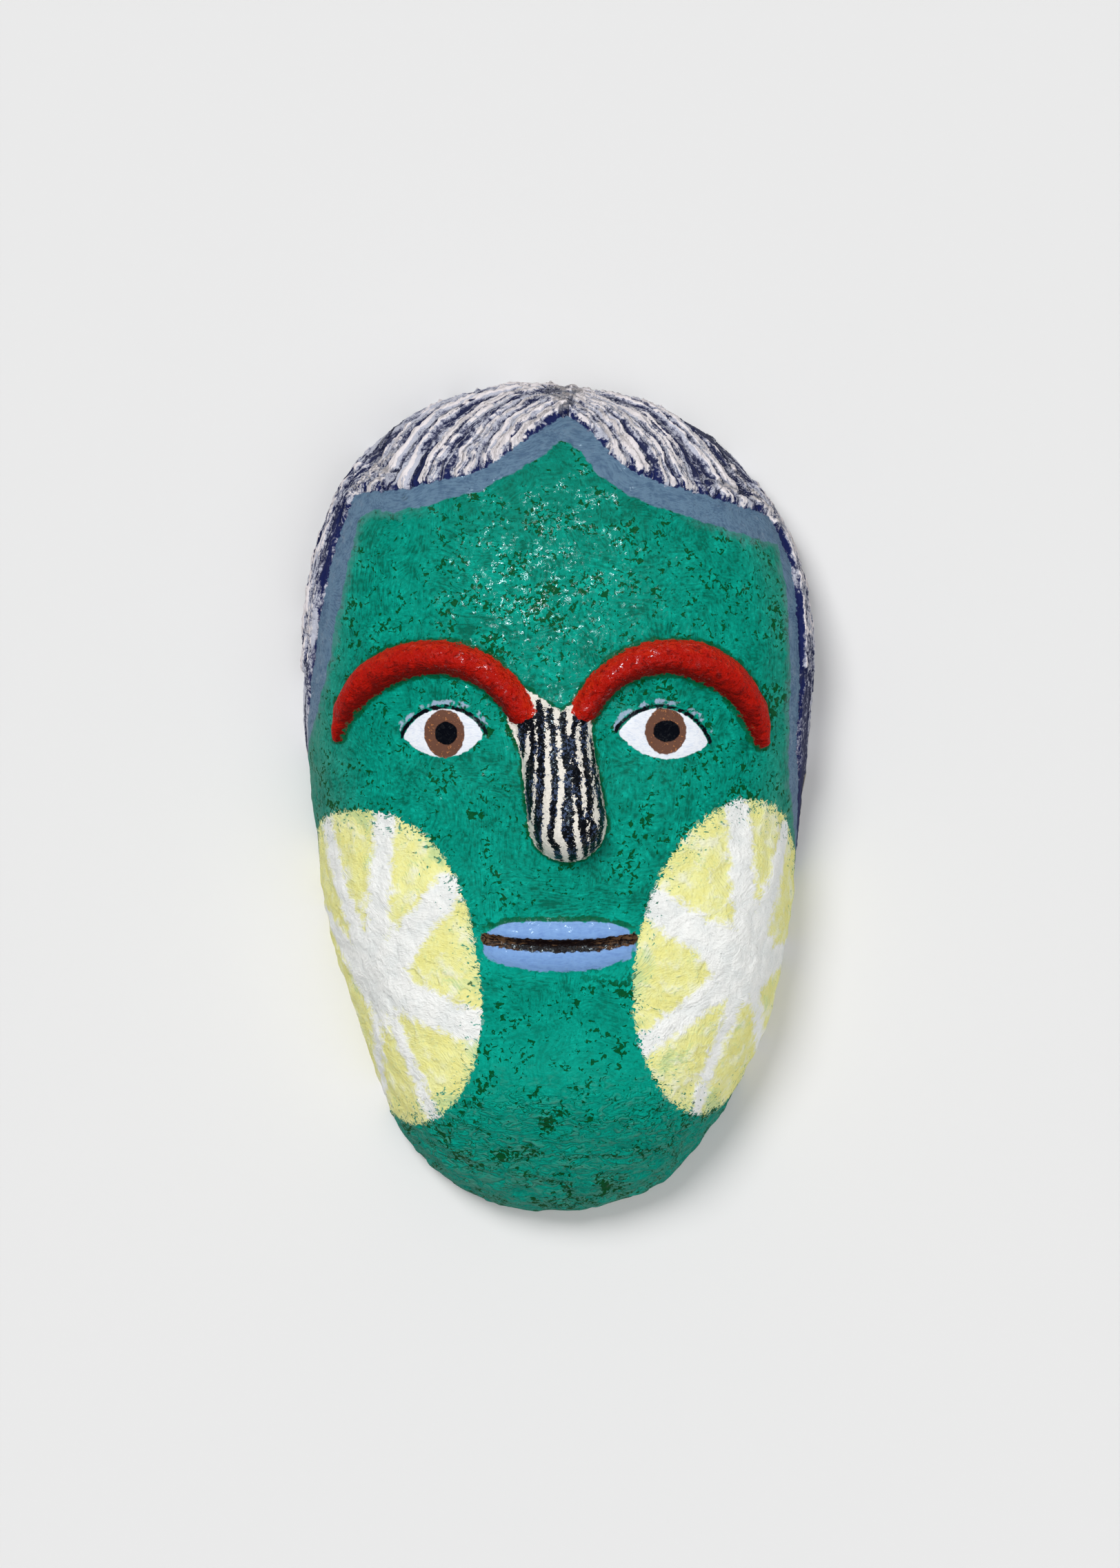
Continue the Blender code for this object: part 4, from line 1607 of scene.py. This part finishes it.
        # painted light: the yellow is painted paler towards the right side, away from the key light
        pale = (lumps * 0.6 + patch * 0.5 + fine * 0.2 + side.step(0.0, 60.0) * 0.15 - 0.05).step(0.0, 0.9)
        colour = tree.blend(pale, colour, self.yellow_pale)
        colour = tree.blend((flake * 0.6 + crumb * 0.6).step(0.35, 0.9) * 0.35, colour, self.yellow_green)
        near_edge = (1.0 - inside.step(0.0, 10.0)) * 0.5
        thin = (tree.grain(15.0, 2.0, twist=0.5) * 0.8 + dragged * 0.4 + near_edge).step(0.4, 1.1)
        colour = tree.blend(thin * 0.7, colour, self.yellow_green)
        ray = self.edge(tree.trace(Trace.RAY), lumps * 0.9 + crumb * 0.5 + dragged * 0.6, 1.5, 1.6)
        white = tree.blend((patch * 0.5 + lumps * 0.5).step(-0.6, 0.5), self.ray_shade, self.ray_white)
        colour = tree.blend(ray, colour, white)
        coats.lay(share, colour, 0.6, lumps * 0.26 + crumb * 0.09 + fine * 0.02 + dragged * 0.08, 0.0)

    def _lips(self, coats: Coats, crumb: Signal) -> None:
        """Paints the lips and the dark line between them.

        Args:
            coats: the paint so far.
            crumb: the crumb of the pulp.
        """
        tree = coats.tree
        wobble = tree.grain(2.2, 3.0)
        streak = self.brushed(tree, (0.2, 1.0, 1.0), 0.6, 10.0)
        colour = tree.blend((streak * 0.5 + wobble * 0.4).step(-0.7, 0.3), self.lips_dark, self.lips)
        share = self.edge(tree.trace(Trace.LIPS), wobble, 0.5, 0.3)
        coats.lay(share, colour, 0.35, crumb * 0.04 + streak * 0.02, wobble.step(0.1, 0.4))
        line = self.edge(tree.trace(Trace.MOUTH), wobble + crumb * 0.6, 0.45, 0.25)
        from_middle = abs(tree.axis("X"))
        dark = (streak * 0.6 + crumb * 0.3 + from_middle.step(6.0, 24.0) * 0.6).step(0.25, 0.9)
        coats.lay(line, tree.blend(dark, self.mouth, self.mouth_brown), 0.3, crumb * 0.1 + streak * 0.04, 0.7)

    def _eyes(self, coats: Coats, crumb: Signal, fine: Signal) -> None:
        """Paints each eye: its white, iris, pupil, lid line and the pale wash above the lid.

        Args:
            coats: the paint so far.
            crumb: the crumb of the pulp.
            fine: its finest grain.
        """
        tree = coats.tree
        wobble = tree.grain(2.0, 3.0)
        streak = self.brushed(tree, (0.2, 1.0, 1.0), 0.5, 12.0)
        broken = tree.grain(3.6, 2.0).step(-0.3, 0.3)
        wash = self.edge(tree.trace(Trace.LID_WASH), wobble + crumb, 0.6, 0.3) * broken
        coats.lay(wash * 0.9, self.lid_wash, 0.4, crumb * 0.06, 0.2)
        white = self.edge(tree.trace(Trace.WHITE), wobble, 0.35, 0.22)
        pale = tree.blend((streak * 0.5 + wobble * 0.3).step(-0.2, 0.7) * 0.8, self.eye_white, self.eye_shade)
        coats.lay(white, pale, 0.35, crumb * 0.035 + streak * 0.03, 0.3)
        iris = self.edge(tree.trace(Trace.IRIS), wobble, 0.3, 0.2)
        brown = tree.blend((crumb * 0.6 + fine * 0.6).step(0.4, 0.7) * 0.85, self.iris_brown, self.copper)
        coats.lay(iris, brown, 0.35, crumb * 0.06 + fine * 0.015, 0.3)
        pupil = self.edge(tree.trace(Trace.PUPIL), wobble, 0.2, 0.2)
        coats.lay(pupil, self.black, 0.3, crumb * 0.08, 0.8)
        lid = self.edge(tree.trace(Trace.LID), wobble + crumb * 0.5, 0.3, 0.2)
        coats.lay(lid, self.black, 0.35, crumb * 0.05, 0.2)

    def _outlines(self, coats: Coats, crumb: Signal) -> None:
        """Touches darker green in along the brows, the nose and the upper lip.

        Args:
            coats: the paint so far.
            crumb: the crumb of the pulp.
        """
        tree = coats.tree
        near = tree.trace(Trace.BROW).most(tree.trace(Trace.NOSE))
        patchy = tree.grain(4.5, 3.0, twist=0.5)
        share = (near + patchy * 1.1 + crumb * 0.5).step(-1.6, -0.7)
        level = tree.axis("Y")
        lip = tree.trace(Trace.LIPS)
        above = (lip + patchy * 0.8 + crumb * 0.5).step(-1.7, -1.1) * (0.0 - lip).step(-0.2, 0.1)
        share = share.most(above * level.step(-49.0, -46.5))
        coats.lay(share * 0.8, self.pit_green, 0.4, crumb * 0.08, 0.2)

    def _nose(self, coats: Coats, crumb: Signal, fine: Signal) -> None:
        """Paints the nose cream, then its black stripes, with painted blue glints flecked over the black.

        Args:
            coats: the paint so far.
            crumb: the crumb of the pulp.
            fine: its finest grain.
        """
        tree = coats.tree
        inside = tree.trace(Trace.NOSE)
        wobble = tree.grain(1.7, 3.0)
        share = self.edge(inside, wobble, 0.6, 0.25)
        pale = tree.blend((crumb * 0.5 + fine * 0.5).step(-0.1, 0.7) * 0.7, self.cream, self.cream_shade)
        coats.lay(share, pale, 0.42, crumb * 0.12 + fine * 0.03, 0.15)
        black = self.edge(tree.trace(Trace.STRIPE) + 0.22, wobble * 0.8 + fine * 0.7 + crumb * 0.3, 0.7, 0.12)
        black = black * share * (inside + wobble * 0.8).step(-0.1, 0.5)
        # painted glints: pale blue flecks painted over the black stripes stand in for highlights on the gloss
        glint_patches = tree.grain(6.0, 1.0, twist=0.5)
        painted_glints = (crumb + fine * 0.9 + glint_patches * 0.8).step(0.5, 0.72) * 0.9
        ink = tree.blend(painted_glints, self.black, self.glint_blue)
        coats.lay(black, ink, 0.3, crumb * 0.18 + fine * 0.06 + 0.1, 0.85)

    def _brows(self, coats: Coats, crumb: Signal, fine: Signal) -> None:
        """Paints the brows red: darker along the underside, partly darker paint and partly painted shade,
        brighter on top as painted light, and darker in crevices as painted shade.

        Args:
            coats: the paint so far.
            crumb: the crumb of the pulp.
            fine: its finest grain.
        """
        tree = coats.tree
        inside, under = tree.trace(Trace.BROW), tree.trace(Trace.BROW_UNDER)
        wobble = tree.grain(2.4, 3.0)
        streak = self.brushed(tree, (0.3, 1.0, 1.0), 0.9, 30.0)
        share = self.edge(inside, wobble + crumb * 0.5, 0.6, 0.28)
        # painted shade over a real darker red: the underside is painted darker
        low = (0.0 - under + wobble * 0.35 + streak * 0.3).step(-0.1, 0.95)
        colour = tree.blend(low * 0.85, self.red, self.dark_red)
        # painted light: the top of the brow is painted a brighter orange-red
        high = (under + wobble * 0.45 + streak * 0.35).step(0.15, 1.0)
        colour = tree.blend(high * 0.7, colour, self.orange_red)
        # painted shade: the crevices are painted a darker red
        crevice_shade = (tree.grain(2.0, 3.0, twist=0.8) * 0.8 + streak * 0.4).step(0.4, 0.62)
        colour = tree.blend(crevice_shade * 0.6, colour, self.dark_red)
        shine = (tree.trace(Trace.VARNISH) + wobble * 0.3 + crumb * 0.2).step(0.32, 0.5)
        relief = wobble * 0.25 + crumb * 0.2 + streak * 0.1 + fine * 0.04 - crevice_shade * 0.15
        coats.lay(share, colour, 0.5, relief, shine)


@dataclass(frozen=True)
class BarePaper:
    """The unpainted inside and rim: torn strips of plain paper in dried paste."""

    paper: Colour = pot(206, 198, 180)
    old_paper: Colour = pot(184, 172, 150)
    grey_paper: Colour = pot(170, 168, 160)
    strip: float = 26.0
    strip_stretch: Triple = (1.0, 0.45, 1.0)
    wander: float = 16.0

    def material(self) -> bpy.types.Material:
        """Mixes the finish.

        Returns:
            The material of the inside.
        """
        tree = PaintTree("bare paper pulp")
        stretched = tree.scaled(tree.wandered(self.wander, 2.0), self.strip_stretch)
        cells = {"Vector": stretched, "Scale": 1.0 / self.strip, "Randomness": 1.0}
        tone = tree.node("ShaderNodeTexVoronoi", {"feature": "F1"}, cells, "Color")
        which = tree.node("ShaderNodeSeparateColor", {}, {"Color": tone}, "Red")
        seam = tree.node("ShaderNodeTexVoronoi", {"feature": "DISTANCE_TO_EDGE"}, cells, "Distance")
        fibre = tree.grain(0.7, 3.0)
        blot = tree.grain(9.0, 3.0)
        colour = tree.blend((which + blot * 0.12).step(0.2, 0.8), self.paper, self.old_paper)
        colour = tree.blend((which - fibre * 0.22).step(0.6, 0.9) * 0.6, colour, self.grey_paper)
        lap = 1.0 - (seam + fibre * 0.008).step(0.0, 0.035)
        colour = tree.blend(lap * 0.35, colour, self.old_paper)
        height = which * 0.5 + fibre * 0.05 + blot * 0.12 - lap * 0.1
        return tree.finish(colour, 0.62 + blot * 0.07, height)


@dataclass(frozen=True)
class Sun:
    """One distant light. A glint is seen in the gloss alone and the others in the paint alone.

    It lies towards a direction from the mask, and its spread is how many degrees wide it looks.
    """

    name: str
    towards: Triple
    strength: float
    spread: float
    shadow: bool = True
    glint: bool = False
    tint: Colour = (1.0, 1.0, 1.0)

    def hang(self) -> None:
        """Adds the light to the scene."""
        light = bpy.data.lights.new(self.name, "SUN")
        light.energy = self.strength
        light.angle = math.radians(self.spread)
        light.color = self.tint
        light.use_shadow = self.shadow
        lamp = bpy.data.objects.new(self.name, light)
        lamp.rotation_euler = Vector(self.towards).to_track_quat("Z", "Y").to_euler()
        lamp.visible_glossy = self.glint
        lamp.visible_diffuse = not self.glint
        bpy.context.scene.collection.objects.link(lamp)


@dataclass(frozen=True)
class Studio:
    """The pale floor, the soft lights and the camera that looks straight down on the mask."""

    frame_height_px: float = 2274.0
    mm_per_px: float = 0.25
    lens: float = 300.0
    sensor: float = 36.0
    middle: Pair = (0.75, 4.25)
    sharp_level: float = 20.0
    floor_size: float = 5.0
    floor_drop: float = 0.00005
    floor_colour: Colour = pot(227, 227, 227)
    sky: float = 0.18
    farthest: float = 20.0
    suns: tuple[Sun, ...] = (
        Sun("key light", (-0.42, 0.54, 1.0), 2.0, 24.0),
        Sun("front light", (0.5, -0.35, 1.0), 1.35, 45.0, shadow=False),
        Sun("glint light", (-0.12, 0.36, 1.0), 2.3, 9.0, glint=True, tint=(0.72, 0.9, 1.0)),
        Sun("upper glint light", (0.05, 1.1, 1.0), 2.3, 9.0, glint=True, tint=(0.72, 0.9, 1.0)),
    )

    def build(self) -> None:
        """Sets up the floor, the lights, the sky and the camera."""
        self._floor()
        for sun in self.suns:
            sun.hang()
        self._sky()
        self._camera()
        bpy.context.scene.view_settings.view_transform = "Standard"

    def _floor(self) -> None:
        """Lays the floor just under the rim."""
        mesh = bpy.data.meshes.new("floor")
        sheet = bmesh.new()
        bmesh.ops.create_grid(sheet, x_segments=2, y_segments=2, size=self.floor_size / 2)
        sheet.to_mesh(mesh)
        sheet.free()
        floor = bpy.data.objects.new("floor", mesh)
        floor.location.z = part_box(NODE)[0][2] - self.floor_drop
        bpy.context.scene.collection.objects.link(floor)
        material = bpy.data.materials.new("pale floor")
        material.use_nodes = True
        surface = material.node_tree.nodes["Principled BSDF"]
        surface.inputs["Base Color"].default_value = (*self.floor_colour, 1.0)
        surface.inputs["Roughness"].default_value = 1.0
        surface.inputs["Specular IOR Level"].default_value = 0.0
        mesh.materials.append(material)

    def _sky(self) -> None:
        """Lights the whole scene evenly from all round."""
        world = bpy.data.worlds.new("even sky")
        world.use_nodes = True
        background = world.node_tree.nodes["Background"]
        background.inputs["Color"].default_value = (1.0, 1.0, 1.0, 1.0)
        background.inputs["Strength"].default_value = self.sky
        bpy.context.scene.world = world

    def _camera(self) -> None:
        """Hangs the camera over the mask, at the height where the photograph's frame fits."""
        lens = bpy.data.cameras.new("camera")
        lens.lens = self.lens
        lens.sensor_fit = "VERTICAL"
        lens.sensor_height = self.sensor
        lens.clip_end = self.farthest
        camera = bpy.data.objects.new("camera", lens)
        distance = self.frame_height_px * self.mm_per_px * self.lens / self.sensor
        camera.location = (self.middle[0] * MM, self.middle[1] * MM, (self.sharp_level + distance) * MM)
        bpy.context.scene.collection.objects.link(camera)
        bpy.context.scene.camera = camera


def main() -> None:
    """Builds the studio and the mask, in that order."""
    logging.basicConfig(level=logging.INFO, format="%(name)s: %(message)s")
    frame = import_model()
    log.info("frame: %s", ", ".join(frame["nodes"]))
    Studio().build()
    mask = MaskShell(PulpFace()).build()
    mask.data.materials.append(PaintedFace().material())
    mask.data.materials.append(BarePaper().material())
    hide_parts(NODE)
    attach(mask, BODY)
    faces = sum(len(face.vertices) - 2 for face in mask.data.polygons)
    log.info("painted_mask: %d triangles", faces)


if __name__ == "__main__":
    main()
